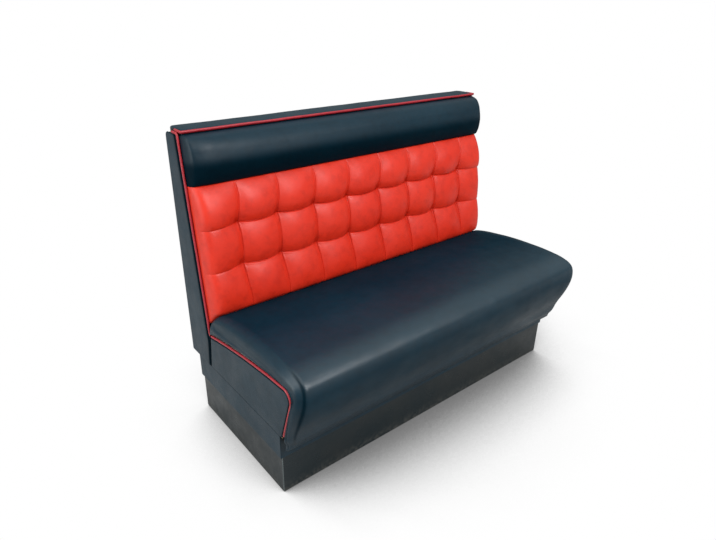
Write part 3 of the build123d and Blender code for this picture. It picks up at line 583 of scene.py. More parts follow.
def twine_ties(material):
    """Twisted twine from each node to a washer behind the front board."""
    rear, front = -SETBACK - 19.5, 30.0
    along = np.arange(rear, front + 0.1, 1.3)
    turns, ways = np.arange(6) * math.pi / 3, np.arange(24) * math.pi / 12
    strand_radius, twist_radius, twist_length = 0.78, 0.72, 8.0
    radii = np.array([2.0, 2.3, 8.6, 9.0, 9.0, 8.6, 2.3, 2.0])
    places = rear + np.array([0.2, 0.0, 0.0, 0.3, 1.2, 1.5, 1.5, 1.3])
    points, faces = np.zeros((0, 3)), []
    for x, height in ((x, height) for x in NODES_X for height in FOLDS):
        for strand in (0.0, math.pi):
            twist = (strand + along * 2 * math.pi / twist_length)[:, None]
            aside = x + twist_radius * np.cos(twist) + strand_radius * np.cos(turns)
            up = height + twist_radius * np.sin(twist) + strand_radius * np.sin(turns)
            rope = panel_points(aside, up, along[:, None]).reshape(-1, 3)
            faces += tube_faces(len(along), len(turns), len(points))
            points = np.append(points, rope, axis=0)
        faces += tube_faces(len(ways), len(radii), len(points), loop=True)
        aside, up = x + radii * np.cos(ways)[:, None], height + radii * np.sin(ways)[:, None]
        washer = panel_points(aside, up, places).reshape(-1, 3)
        points = np.append(points, washer, axis=0)
    return new_object("twine_ties", points, faces, material)


# Headroll

def headroll(material):
    """Dark padded roll along the top of the back."""
    heights = ROLL_LOW + ROLL_SHARES[:, 0] * (ROLL_HIGH - ROLL_LOW)
    prouds = ROLL_SHARES[:, 1] * ROLL_PROUD
    weights = curve_through(np.column_stack([prouds, heights]), [2, 3, 6, 6, 6, 6, 6, 4])
    arc = dense_ends(arc_half(PAD_HALF, ROLL_END), edge=40, close=25, wide=184)
    x, turn = round_end(arc, PAD_HALF, ROLL_END)
    low_end = np.where(x < 0, 0.72, 0.86)
    inner = np.clip((PAD_HALF - np.abs(x)) / 70.0, 0, 1)
    taper = low_end + (1 - low_end) * np.sin(QUARTER * inner)
    end = np.maximum(turn, 0.02) * taper
    out = (weights @ prouds)[:, None] * end - SETBACK
    lip = np.zeros((len(weights), 1))
    lip[-4:, 0] = [0.2, 0.6, 1.0, 1.0]
    up = (weights @ heights)[:, None] + lip * 4.5 * smooth(end / taper, 0.3, 1.0)
    points = panel_points(x, up, out)
    points[-1, :, 2] = np.minimum(points[-1, :, 2], ROLL_TOP_LIMIT)
    bottom, top = (panel_points(x, height, -SETBACK)[None] for height in (ROLL_LOW, ROLL_HIGH))
    points = np.concatenate([bottom, points, top])
    pins = held(points, 3, 3, 2)
    points = points + swell_grid(points, pins, 3.0)
    share = np.linspace(0, 1, len(points))[:, None]
    inward = PAD_HALF - np.abs(points[..., 0])
    pull = np.exp(-(inward / 55.0)) * np.sin(share * 9 * math.pi + 1.0)
    bump = 0.9 * ripple(points, 260, 21) + 0.25 * ripple(points, 60, 22)
    bump = bump + 0.3 * pull * smooth(inward, 2, 22)
    points = points + (1 - pins)[..., None] * np.stack([0 * bump, bump, 0.1 * bump], axis=-1)
    # Painted shade on the underside and at both ends: a deeper colour and a duller reflection.
    under = smooth(-points[..., 2], -ROLL_LOW - 96, -ROLL_LOW - 48)
    tone = np.maximum(under, 0.5 * bell(inward, 9.0))
    return sheet("headroll", points, material, crease=tone, polish=-0.5 * under)


# Seat cushion

def seat_line(offset, rear, low, samples):
    """Places along the seat's piping line, moved out: rear to nose, round it and down."""
    middle, span = (SEAT_REAR + SEAT_TOP) / 2, SEAT_TOP - SEAT_REAR
    chord = np.linalg.norm(span)
    rise = SEAT_ARC_HEIGHT - middle[1]
    radius = (chord * chord / 4 + rise * rise) / (2 * rise)
    lean = math.atan2(span[1], span[0])
    centre = middle + (radius - rise) * np.array([math.sin(lean), -math.cos(lean)])
    deck_count, nose_count, fall_count = samples
    deck = np.linspace(rear, SEAT_TOP[0], deck_count)
    heights = centre[1] + np.sqrt(radius ** 2 - (deck - centre[0]) ** 2) + offset
    under = NOSE_UNDER - NOSE_CENTRE
    turns = np.linspace(QUARTER, math.atan2(under[1], under[0]), nose_count)[1:, None]
    arms = np.concatenate([np.cos(turns), np.sin(turns)], axis=1)
    nose = NOSE_CENTRE + (NOSE_RADIUS + offset) * arms
    length = (nose[-1, 1] - low) / -FALL_WAY[1]
    fall = np.linspace(0, length, fall_count)[1:, None] * FALL_WAY + nose[-1]
    return np.concatenate([np.column_stack([deck, heights]), nose, fall])


def seat_cushion(material):
    """Thick crowned cushion with a rolled front and rounded ends."""
    places = [(CUSHION_REAR + share * DECK_REACH, up) for share, up in DECK_SHARES]
    places += [(CUSHION_FRONT - share * ROLL_DEPTH, up) for share, up in FRONT_SHARES]
    places = [(depth, CUSHION_LOW + up * CUSHION_RISE) for depth, up in places]
    places = np.array(CUSHION_START + places)
    forward = (places[:, 0] - CUSHION_REAR) / (CUSHION_FRONT - CUSHION_REAR)
    dome = CROWN_RISE * 4 * forward * (1 - forward)
    dome[:2] = 0
    weights = curve_through(places, [6, 22, 18, 16, 10, 8, 8, 10, 10, 5, 5])
    skin, pull, crown = weights @ places, weights @ DRAW_IN, weights @ dome
    inner = seat_line(4.3, rear=CUSHION_REAR, low=222.0, samples=(200, 60, 80))
    foot = np.column_stack([np.full(20, CUSHION_FOOT), np.linspace(220, 178.8, 20)])
    inner = matched(skin - CUSHION_END * pull, np.concatenate([inner, foot]))
    arc = dense_ends(arc_half(CUSHION_HALF, CUSHION_END), edge=96, close=33, wide=170)
    full = np.where(arc < 0, 0.85, 0.46)
    x, turn = round_end(arc, CUSHION_HALF, CUSHION_END, full)
    inset = CUSHION_END * (1 - np.maximum(turn, 0) ** full) + 2.0
    far, crown_flat = np.abs(x), CUSHION_HALF - CROWN_REACH
    middle = np.clip(1 - 0.2 * (far / crown_flat) ** 1.5, 0, 1)
    outer = 0.8 * np.clip((CUSHION_HALF - far) / CROWN_REACH, 0, 1) ** 0.7
    middle = np.where(far > crown_flat, outer, middle)
    top = skin[:, None] - inset[None, :, None] * pull[:, None]
    top[..., 1] += middle * crown[:, None]
    top = np.concatenate([np.repeat(x[None, :, None], len(skin), axis=0), top], axis=-1)
    rungs = np.linspace(0, 1, 12)[1:]
    fall_in = 1.8 * np.sin(math.pi * rungs) - 6.5 * smooth(rungs, 0.62, 1.0) ** 1.5
    caps = []
    for edge, sign in ((top[:, 0], -1), (top[:, -1], 1)):
        goal = np.column_stack([edge[:, 0], inner])
        cap = edge[:, None] + (goal - edge)[:, None] * rungs[None, :, None]
        cap[..., 0] += sign * fall_in
        caps.append(cap)
    points = np.concatenate([caps[0][:, ::-1], top, caps[1]], axis=1)
    rows, columns = points.shape[:2]
    faces = grid_faces(rows, columns)
    for a in range(0, (rows - 1) * columns, columns):
        faces.append((a, a + columns - 1, a + 2 * columns - 1, a + columns))
    faces += [range(columns), range((rows - 1) * columns, rows * columns)]
    pins = held(points, 4, 2, 4)
    points = points + swell_grid(points, pins, 5.0)
    points, tone = cushion_detail(points, pins)
    x, depth, height = np.moveaxis(points, -1, 0)
    # Painted sheen: the crest gets a brighter, sharper reflection, partly wear and partly a
    # painted highlight; below the crest and at the rear of the deck, away from the ends, the
    # reflection is dulled as painted shade.
    wear_and_painted_sheen = smooth(depth, 540, 615) * smooth(height, 396, 430)
    wear_and_painted_sheen = wear_and_painted_sheen - 0.6 * smooth(depth, 600, 640) * smooth(-height, -412, -380)
    wear_and_painted_sheen = wear_and_painted_sheen - 1.05 * smooth(CUSHION_HALF - np.abs(x), 2, 46) * smooth(-depth, -620, -330)
    return new_object("seat_cushion", points, faces, material, crease=tone, polish=wear_and_painted_sheen)


def matched(first, second):
    """Points along a second path, one for each point of the first, nearest in turn."""
    last = len(second) - 1
    start, result = 0, []
    for place in first:
        start += int(np.argmin(np.linalg.norm(second[start:] - place, axis=1)))
        result.append(start)
    result[0], result[-1] = 0, last
    padded = np.array([0] * 4 + result + [last] * 4, float)
    result = np.maximum.accumulate(np.convolve(padded, np.ones(9) / 9, "valid"))
    result[0], result[-1] = 0, last
    low = np.minimum(result.astype(int), last - 1)
    share = (result - low)[:, None]
    return second[low] * (1 - share) + second[low + 1] * share


def cushion_detail(points, pins):
    """Crease at each end of the front roll, pull lines and soft waves."""
    x, depth, height = np.moveaxis(points, -1, 0)
    inward = CUSHION_HALF - np.abs(x)
    front = smooth(depth, 520, 640) * smooth(height, 170, 250)
    ray = points[..., 1:] - np.array([560.0, 330.0])
    ray /= np.maximum(np.linalg.norm(ray, axis=-1, keepdims=True), 1e-6)
    left = x < 0
    wander = 6 * np.sin(np.linspace(0, 1, len(points)) * 5)[:, None]
    line = np.where(left, 25.0, 30.0) + wander
    away = inward - line
    groove = np.where(left, 1.0, 0.15) * front * dent(away, 2.8, 4.0)
    facet = np.sin(math.pi * np.clip(-away / line, 0, 1) ** 0.72)
    push = -3.0 * groove
    push -= np.where(left, 8.5, 1.0) * (0.45 + 0.55 * front) * facet
    push += 1.0 * ripple(points, 420, 31) + 0.35 * ripple(points, 130, 32)
    pulls = np.sin(depth / 9.0 + 2 * np.sin(depth / 47.0)) * smooth(height, 400, 430)
    push += 0.12 * np.exp(-(inward / 70.0)) * pulls
    push = push * (1 - pins) * smooth(depth, 165, 215)
    moved = points.copy()
    moved[..., 1:] += push[..., None] * ray
    foot = smooth(-height, -226, -196) * smooth(depth, 480, 540)
    moved[..., 0] *= 1 - 8.0 / CUSHION_HALF * foot
    # The crease gets painted shade.
    return moved, np.clip(groove, 0, 1)


# Wrapped boards, cap and pipings

def plate(name, grid, axis, low, high, material, edge, puff, seed, tone=0.0):
    """Thin wrapped board: a grid of places in its plane, rising from low to high at its border."""
    flat = grid.reshape(-1, 2)
    rim = flat[border(*grid.shape[:2])]
    away = np.full(len(flat), 1e9)
    for start, stop in zip(rim, np.roll(rim, -1, axis=0)):
        way = stop - start
        length = way @ way
        if length < 1e-9:
            continue
        share = np.clip(((flat - start) @ way) / length, 0, 1)[:, None]
        away = np.minimum(away, np.linalg.norm(flat - start - share * way, axis=1))
    share = np.clip(away / edge, 0, 1)
    rise = np.sqrt(1 - (1 - share) ** 2)
    sign = 1 if high > low else -1
    level = low + (high - low) * rise + sign * puff * (1 - np.exp(-away / 45.0))
    place = "xy".index(axis)
    points = np.insert(flat, place, level, axis=1)
    wave = 0.35 * ripple(points, 240, seed) + 0.12 * ripple(points, 50, seed + 1)
    tone = np.ravel(tone + 0 * grid[..., 0])
    points[:, place] += sign * wave * smooth(away, 2, 30) * (1.0 - tone)
    # Painted shade along the rim of the board, where it meets its neighbours.
    tone = np.maximum(tone, 0.6 * bell(away, 1.6))
    return sheet(name, points.reshape(grid.shape[:2] + (3,)), material, crease=tone)


def rectangle(across, up, step):
    """Grid of places over a rectangle, close together at its edges."""
    lines = [low + spread(high - low, step, 2) for low, high in (across, up)]
    return np.stack(np.meshgrid(*lines), axis=-1)


def near_piping(grid):
    """Deeper tone, as painted shade, of a side cover where it turns in to the piping."""
    return 0.95 * bell(grid[:, -1:, 0] - grid[..., 0], 10.0)


def corner_inset(radius, left):
    """How far a round corner draws an edge in, where a length is left before its end."""
    return radius - math.sqrt(max(radius ** 2 - max(radius - left, 0) ** 2, 0))


def side_grid(low, high, gap, gap_low):
    """Grid over a side of the back, whose front edge follows the piping line at a gap."""
    shares = spread(1.0, 0.08, 0.022)
    rows = []
    for height in low + spread(high - low, 14, 3.5):
        if height > WAIST:
            front = line_depth(height) - SETBACK - gap
        else:
            front = lower_depth(height) - SETBACK
            front -= gap_low + (gap - gap_low) * smooth(height, WAIST - 20, WAIST)
        front -= corner_inset(6.0, high - height)
        start = corner_inset(14.0, high - height)
        rows.append([(start + share * (front - start), height) for share in shares])
    return np.array(rows)


def seat_end_grid(gap):
    """Grid over a seat end, from its foot to the curved line under the piping."""
    inside = max(gap, 0.0)
    low = BASE_TOP + inside
    outer = seat_line(-SETBACK - gap, rear=145.2 + 0.4 * gap, low=low, samples=(60, 16, 26))
    foot = np.linspace(131.6 + 0.4 * gap, outer[-1, 0] - 4 * inside, len(outer))
    foot = np.column_stack([foot, np.full(len(outer), low)])
    return np.array([foot * (1 - share) + outer * share for share in spread(1.0, 0.07, 0.02)])


def rounded(corners, radius, step=2.5):
    """Path through corners, each rounded to a radius and sampled."""
    corners = [np.array(corner, float) for corner in corners]
    path = [corners[0]]
    for before, here, after in zip(corners, corners[1:], corners[2:]):
        first, second = unit(before - here), unit(after - here)
        reach = radius / math.tan(math.acos(np.clip(first @ second, -1, 1)) / 2)
        start, stop = here + first * reach, here + second * reach
        share = np.linspace(0, 1, 9)[:, None]
        rest = 1 - share
        path += list(rest ** 2 * start + 2 * share * rest * here + share ** 2 * stop)
    return even(np.array(path + [corners[-1]]), step)


def even(path, step):
    """The same path with its points a step apart."""
    along = travelled(path)
    wanted = np.linspace(0, along[-1], max(2, round(along[-1] / step)) + 1)
    return np.column_stack([np.interp(wanted, along, path[:, number]) for number in range(3)])


def piping(name, path, radius, flange, seed, material):
    """Round welt along a path with a small sewn flange behind it."""
    path = path + 0.25 * np.column_stack([ripple(path, 120, seed + k, 2) for k in range(3)])
    way = unit(np.gradient(path, axis=0))
    flange = unit(flange - np.sum(flange * way, axis=1, keepdims=True) * way)
    side = np.cross(way, flange)
    ring = 18
    turns = np.arange(ring) * 2 * math.pi / ring
    from_flange = np.minimum(turns, 2 * math.pi - turns)
    size = radius * (1 + 0.03 * ripple(path, 45, seed + 7, 2))
    size[[0, -1]] *= 0.35
    size[[1, -2]] *= 0.82
    reach = ((1 + 0.55 * bell(from_flange, 0.42)) * np.cos(turns))[:, None, None]
    arms = reach * flange + np.sin(turns)[:, None, None] * side
    points = (path + arms * size[:, None]).transpose(1, 0, 2)
    # Painted shade on the flange side of the welt, where it goes into the seam.
    tone = np.tile(bell(from_flange, 0.6), (len(path), 1))
    return new_object(name, points, tube_faces(len(path), ring), material, crease=tone)


def edging(name, line, side, outer, inner, bulge, material):
    """Vinyl turned over the edge of a board: a strip along a line of depths and heights."""
    way = unit(np.gradient(line, axis=0))
    normal = np.column_stack([-way[:, 1], way[:, 0]])
    turns = np.linspace(0, math.pi, 13)
    across = (outer + inner) / 2 + (outer - inner) / 2 * np.cos(turns)
    rise = bulge * np.sqrt(np.sin(turns).clip(0, 1))
    places = line[:, None] + normal[:, None] * rise[:, None]
    x = np.tile(side * across, (len(line), 1))
    points = np.concatenate([x[..., None], places], axis=-1)
    # The whole strip gets painted shade.
    return sheet(name, points, material, crease=np.full(x.shape, 0.7))


def back_edge_line():
    """Front edge of a side of the back, from its top corner down to its foot."""
    heights = np.concatenate([np.linspace(BASE_TOP, 334, 24), np.linspace(WAIST, 951, 120)])
    depths = np.where(heights < WAIST, lower_depth(heights), line_depth(heights))
    return np.column_stack([depths - SETBACK + 0.1, heights])[::-1]


def seat_edge_line():
    """Edge of a seat end: up its rear and over its top to the foot."""
    outer = seat_line(-SETBACK + 0.05, rear=146.0, low=BASE_TOP, samples=(60, 16, 26))
    rear = np.column_stack([np.linspace(132.0, 145.5, 24), np.linspace(BASE_TOP, 332.0, 24)])
    return np.concatenate([rear, outer])


def base_turn(name, side, material):
    """Vinyl of a base end, turned over the top of its rail."""
    across = np.array([
        (609.2, 214.6), (609.25, 215.5), (608.9, 216.0), (607.8, 216.25), (603.0, 216.3),
        (594.0, 216.2),
    ])
    depths = BASE_REAR + spread(BASE_FRONT - BASE_REAR, 12, 2)
    points = np.zeros((len(depths), len(across), 3))
    points[..., 0] = side * across[:, 0]
    points[..., 1] = depths[:, None]
    points[..., 2] = across[:, 1] + 0.05 * ripple(points, 40, 91)
    # The whole turn gets painted shade.
    return sheet(name, points, material, crease=np.full(points.shape[:2], 0.8))


def top_cap(material):
    """Padded strip along the top of the back, folded in at both ends."""
    profile = np.array([
        (2, CAP_LOW), (2, 956), (2.6, 961.5), (5.5, 965.2), (12, 967.0), (28, 968.0),
        (46, 968.4), (64, 967.8), (78, 966.3), (83.6, 963.8), (85.8, 958.5), (86, CAP_LOW),
    ])
    skin = curve_through(profile, [2, 3, 3, 3, 4, 4, 4, 4, 3, 3, 3]) @ profile
    x = spread(2 * CAP_HALF, 9, 7) - CAP_HALF
    inward = CAP_HALF - np.abs(x)
    tuck = 1 - np.sqrt(1 - (1 - np.clip(inward / CAP_TUCK, 0, 1)) ** 2)
    centre = np.array([44.0, CAP_LOW])
    drawn = (skin - centre)[:, None]
    drawn_in = np.clip(6.0 / np.linalg.norm(drawn, axis=-1, keepdims=True), 0, 0.5)
    places = centre + drawn * (1 - tuck[:, None] * drawn_in)
    points = np.insert(places, 0, x, axis=-1)
    wave = 0.4 * ripple(points, 300, 41) + 0.15 * ripple(points, 55, 42)
    pull = np.exp(-inward / 16.0) * np.sin(points[..., 1] / 3.4) * 0.35
    points[..., 2] += (wave + pull) * smooth(points[..., 2], 952, 962)
    # Painted shade along the front edge, by the top piping.
    front = smooth(points[..., 1], 80, 85) * smooth(-points[..., 2], -965.5, -962)
    return sheet("top_cap", points, material, crease=front)


def covered_end(kinds, end, body, board, cover, plain, line, bulge, puff, seed, tone=0.0):
    """End of a unit: its padded cover, the plain vinyl under it and the vinyl round its edge."""
    side, name = end
    wrap, under, lip, node = (kind + name for kind in kinds)
    low, high = side * (board - COVER_SUNK), side * (board + COVER_OUT)
    piece = plate(wrap, cover, "x", low, high, dark, 2.6, puff, seed, tone)
    finish_piece(piece, body, "vinyl_dark", node)
    low, high = side * (board - PLAIN_THICK), side * board
    # The plain vinyl under the cover is given full painted shade, as it shows only in gaps.
    piece = plate(under, plain, "x", low, high, dark, 0.7, 0.0, seed + 3, 1.0)
    finish_piece(piece, body, "vinyl_dark")
    piece = edging(lip, line, side, board, board - LIP_WIDTH, bulge, dark)
    finish_piece(piece, body, "vinyl_dark")


# Materials

class Nodes:
    """Short names for making the nodes of a material or of the world."""

    def __init__(self, owner):
        self.owner = owner
        owner.use_nodes = True
        self.tree = owner.node_tree
        self.tree.nodes.clear()

    def add(self, kind, **values):
        node = self.tree.nodes.new(kind)
        for key, value in values.items():
            setattr(node, key, value)
        return node

    def put(self, socket, value):
        if isinstance(value, bpy.types.NodeSocket):
            self.tree.links.new(value, socket)
        else:
            socket.default_value = value

    def made(self, kind, inputs, **values):
        """New node with values or links put in its inputs."""
        node = self.add(kind, **values)
        for key, value in inputs.items():
            self.put(node.inputs[key], value)
        return node

    def scaled(self, scale):
        return self.made("ShaderNodeMapping", {"Vector": self.place, "Scale": scale}).outputs[0]

    def noise(self, scale, detail=4.0, rough=0.55, vector=None):
        inputs = {"Scale": scale, "Detail": detail, "Roughness": rough}
        inputs["Vector"] = vector or self.place
        return self.made("ShaderNodeTexNoise", inputs).outputs["Fac"]

    def cells(self, scale, feature="DISTANCE_TO_EDGE", vector=None):
        inputs = {"Scale": scale, "Vector": vector or self.place}
        return self.made("ShaderNodeTexVoronoi", inputs, feature=feature).outputs["Distance"]

    def span(self, value, low, high, to_low=0.0, to_high=1.0, kind="SMOOTHSTEP"):
        inputs = {"Value": value, "From Min": low, "From Max": high}
        inputs.update({"To Min": to_low, "To Max": to_high})
        return self.made("ShaderNodeMapRange", inputs, interpolation_type=kind).outputs[0]

    def calc(self, kind, first, second):
        return self.made("ShaderNodeMath", {0: first, 1: second}, operation=kind).outputs[0]

    def plus(self, first, second):
        return self.calc("ADD", first, second)

    def times(self, first, second):
        return self.calc("MULTIPLY", first, second)

    def blend(self, factor, first, second):
        inputs = {0: factor, 6: first, 7: second}
        return self.made("ShaderNodeMix", inputs, data_type="RGBA").outputs[2]

    def join(self, factor, first, second):
        inputs = {0: factor, 1: first, 2: second}
        return self.made("ShaderNodeMixShader", inputs).outputs[0]

    def attribute(self, name):
        return self.add("ShaderNodeAttribute", attribute_name=name).outputs["Fac"]

    def axes(self, vector):
        return self.made("ShaderNodeSeparateXYZ", {0: vector}).outputs

    def bump(self, height, strength, distance, under=None):
        inputs = {"Height": height, "Strength": strength, "Distance": distance}
        if under:
            inputs["Normal"] = under
        return self.made("ShaderNodeBump", inputs).outputs[0]


class Surface(Nodes):
    """Nodes of a new material with one principled shader."""

    def __init__(self, name):
        super().__init__(bpy.data.materials.new(name))
        self.shader = self.add("ShaderNodeBsdfPrincipled")
        self.out = self.add("ShaderNodeOutputMaterial")
        self.put(self.out.inputs["Surface"], self.shader.outputs[0])
        self.place = self.add("ShaderNodeTexCoord").outputs["Object"]

    def finish(self, colour, rough, normal, **values):
        values.update({"Base Color": colour, "Roughness": rough, "Normal": normal})
        for key, value in values.items():
            self.put(self.shader.inputs[key.replace("_", " ")], value)
        return self.owner


def rgb(red, green, blue):
    """Linear colour of an 8-bit one."""
    def linear(value):
        value /= 255.0
        return value / 12.92 if value <= 0.04045 else ((value + 0.055) / 1.055) ** 2.4
    return (linear(red), linear(green), linear(blue), 1.0)


def vinyl(name, plain, deep, pale, rough, grain, coat, spec):
    """Upholstery vinyl: pebbled grain, drifting tone, deeper colour as painted shade in creases,
    gaps and undersides, and painted sheen.
    """
    n = Surface(name)
    crease, polish = n.attribute("crease"), n.attribute("polish")
    drift = n.span(n.noise(3.1, 3.0), 0.3, 0.7)
    tone = n.blend(n.times(drift, 0.55), plain, pale)
    tone = n.blend(n.span(n.noise(38.0, 5.0, 0.6), 0.42, 0.72, 0.0, 0.22), tone, deep)

    # Pebbles and pores of the embossing, on places shaken a little
    shaky = n.made("ShaderNodeTexNoise", {"Vector": n.place, "Scale": 420.0}).outputs["Color"]
    shift = n.made("ShaderNodeVectorMath", {0: shaky, "Scale": 0.0012}, operation="SCALE")
    inputs = {0: n.place, 1: shift.outputs[0]}
    warp = n.made("ShaderNodeVectorMath", inputs, operation="ADD").outputs[0]
    pebbles = n.span(n.cells(620.0, vector=warp), 0.0, 0.22)
    pores = n.span(n.cells(1500.0, "F1", warp), 0.1, 0.5)
    height = n.plus(pebbles, n.times(pores, 0.25))
    tone = n.blend(n.span(pebbles, 0.0, 0.6, 0.28, 0.0), tone, deep)
    # Painted shade: the colour goes deeper where shade is painted.
    tone = n.blend(n.times(crease, 0.55), tone, deep)
    normal = n.bump(height, grain, 0.00022, n.bump(n.noise(26.0, 3.0), 0.25, 0.0008))

    # Gloss: drifting, lower between pebbles, changed by wear and by painted sheen, with less
    # reflection where shade is painted
    gloss = n.plus(n.span(n.noise(14.0, 4.0), 0.3, 0.7, -0.045, 0.055), rough)
    gloss = n.plus(gloss, n.span(pebbles, 0.0, 0.6, 0.06, 0.0))
    # Painted sheen: below zero the reflection is dulled as painted shade; above zero it is
    # brighter and sharper, partly wear and partly a painted highlight.
    painted_dulling, wear_and_painted_shine = n.calc("MINIMUM", polish, 0.0), n.calc("MAXIMUM", polish, 0.0)
    gloss = n.calc("SUBTRACT", gloss, n.plus(n.times(painted_dulling, 0.16), n.times(wear_and_painted_shine, 0.04)))
    level = n.plus(n.plus(n.times(painted_dulling, 0.85), n.times(wear_and_painted_shine, 1.3)), 1.0)
    level = n.calc("MAXIMUM", n.times(level, spec), 0.02)
    # Painted shade on the reflection: its level drops where shade is painted.
    level = n.times(level, n.span(crease, 0.0, 1.0, 1.0, 0.12))
    return n.finish(tone, gloss, normal, Specular_IOR_Level=level, Coat_Weight=coat,
                    Coat_Roughness=0.28)


def plywood(name, pale, dark):
    """Bare plywood: long grain, fine pores and bands of tone from its plies."""
    n = Surface(name)
    grain = n.noise(9.0, 8.0, 0.65, n.scaled((1.0, 9.0, 9.0)))
    pores = n.noise(60.0, 3.0, 0.7, n.scaled((0.6, 14.0, 14.0)))
    tone = n.blend(n.span(grain, 0.35, 0.68), pale, dark)
    tone = n.blend(n.span(pores, 0.55, 0.8, 0.0, 0.45), tone, rgb(96, 66, 40))
    inputs = {"Vector": n.place, "Scale": 90.0, "Distortion": 0.4}
    plies = n.made("ShaderNodeTexWave", inputs, wave_type="BANDS", bands_direction="Y")
    plies = n.span(plies.outputs["Fac"], 0.6, 1.0, 0.0, 0.18)
    tone = n.blend(plies, tone, rgb(120, 84, 52))
    return n.finish(tone, n.span(grain, 0.3, 0.7, 0.62, 0.78), n.bump(pores, 0.3, 0.0004))


def laminate(name):
    """Dark glossy laminate of the plinth: scuffs, dust at the foot and pale front corners, partly
    wear and partly a painted highlight.
    """
    n = Surface(name)
    drift = n.span(n.noise(5.0, 4.0), 0.35, 0.7)
    tone = n.blend(drift, rgb(18, 28, 32), rgb(30, 34, 35))
    x, y, z = n.axes(n.place)
    scratch = n.noise(55.0, 3.0, 0.5, n.scaled((1.0, 1.0, 12.0)))
    tone = n.blend(n.span(scratch, 0.62, 0.8, 0.0, 0.35), tone, rgb(74, 72, 68))
    foot = n.span(z, 0.006, 0.045, 1.0, 0.0)
    dust = n.times(n.times(foot, n.span(n.noise(70.0, 5.0), 0.35, 0.7)), 0.3)
    tone = n.blend(dust, tone, rgb(98, 94, 88))
    corner = n.span(n.calc("ABSOLUTE", x, 0.0), 0.6012, 0.6026)
    front = n.span(y, -0.2122, -0.2100, 1.0, 0.0)
    # Pale front corner edges: partly wear, partly a painted highlight where the edge catches the
    # light.
    wear_and_painted_sheen = n.times(n.times(corner, front), n.span(n.noise(120.0, 4.0), 0.25, 0.5, 0.2, 0.55))
    tone = n.blend(wear_and_painted_sheen, tone, rgb(112, 118, 118))
    rough = n.plus(n.span(n.noise(24.0, 5.0), 0.3, 0.7, 0.0, 0.16), 0.26)
    normal = n.bump(n.noise(8.0, 2.0), 0.2, 0.0012, n.bump(scratch, 0.12, 0.0002))
    return n.finish(tone, n.plus(rough, dust), normal, Specular_IOR_Level=0.28)


def metal(name, tone, deep, rough):
    """Plain steel with stains and fine scratches."""
    n = Surface(name)
    scratch = n.noise(700.0, 3.0, 0.6)
    colour = n.blend(n.span(n.noise(45.0, 6.0), 0.4, 0.75), tone, deep)
    gloss = n.plus(n.span(scratch, 0.3, 0.7, 0.0, 0.18), rough)
    return n.finish(colour, gloss, n.bump(scratch, 0.2, 0.0001), Metallic=1.0)


def matt(name, tone, deep, scale, strength, distance, rough=0.85):
    """Matt stock such as foam, felt, twine, hardboard or rubber."""
    n = Surface(name)
    coarse = n.noise(scale, 6.0, 0.65)
    pores = n.cells(scale * 4, "F1")
    colour = n.blend(n.span(coarse, 0.35, 0.7), tone, deep)
    colour = n.blend(n.span(pores, 0.0, 0.35, 0.35, 0.0), colour, deep)
    gloss = n.span(coarse, 0.3, 0.7, rough - 0.08, rough + 0.06)
    return n.finish(colour, gloss, n.bump(pores, strength, distance))


dark = vinyl("vinyl_dark", plain=rgb(3, 33, 46), deep=rgb(1, 8, 12), pale=rgb(5, 43, 57),
             rough=0.43, grain=0.30, coat=0.0, spec=0.32)
red = vinyl("vinyl_red", plain=rgb(218, 43, 19), deep=rgb(136, 6, 3), pale=rgb(226, 54, 30),
            rough=0.42, grain=0.2, coat=0.0, spec=0.4)
welt = vinyl("piping_red", plain=rgb(168, 26, 38), deep=rgb(70, 4, 10), pale=rgb(182, 42, 54),
             rough=0.38, grain=0.2, coat=0.1, spec=0.5)
MATERIALS = {
    "vinyl_dark": dark,
    "vinyl_red": red,
    "piping_red": welt,
    "plywood": plywood("plywood", rgb(196, 160, 112), rgb(160, 118, 74)),
    "plinth_black": laminate("plinth_black"),
    "spring_steel": metal("spring_steel", rgb(120, 122, 126), rgb(70, 66, 62), 0.34),
    "fixing_steel": metal("fixing_steel", rgb(186, 184, 172), rgb(140, 134, 116), 0.28),
}
for name, tone, deep, *looks in (
    ("hardboard", rgb(104, 74, 48), rgb(78, 54, 34), 60.0, 0.2, 0.0003),
    ("foam", rgb(226, 206, 132), rgb(196, 172, 98), 140.0, 0.6, 0.0008, 0.92),
    ("felt", rgb(150, 148, 142), rgb(96, 96, 96), 180.0, 0.6, 0.0008, 0.95),
    ("twine", rgb(214, 204, 182), rgb(170, 156, 130), 900.0, 0.5, 0.0003, 0.9),
    ("foot_plastic", rgb(30, 30, 31), rgb(18, 18, 19), 220.0, 0.2, 0.0002, 0.6),
):
    MATERIALS[name] = matt(name, tone, deep, *looks)

slots = {row["node"]: row["material_slot"] for row in frame["record"]["subparts"]}
for name, node in frame["nodes"].items():
    for slot in node.material_slots:
        slot.material = MATERIALS[slots[name]]

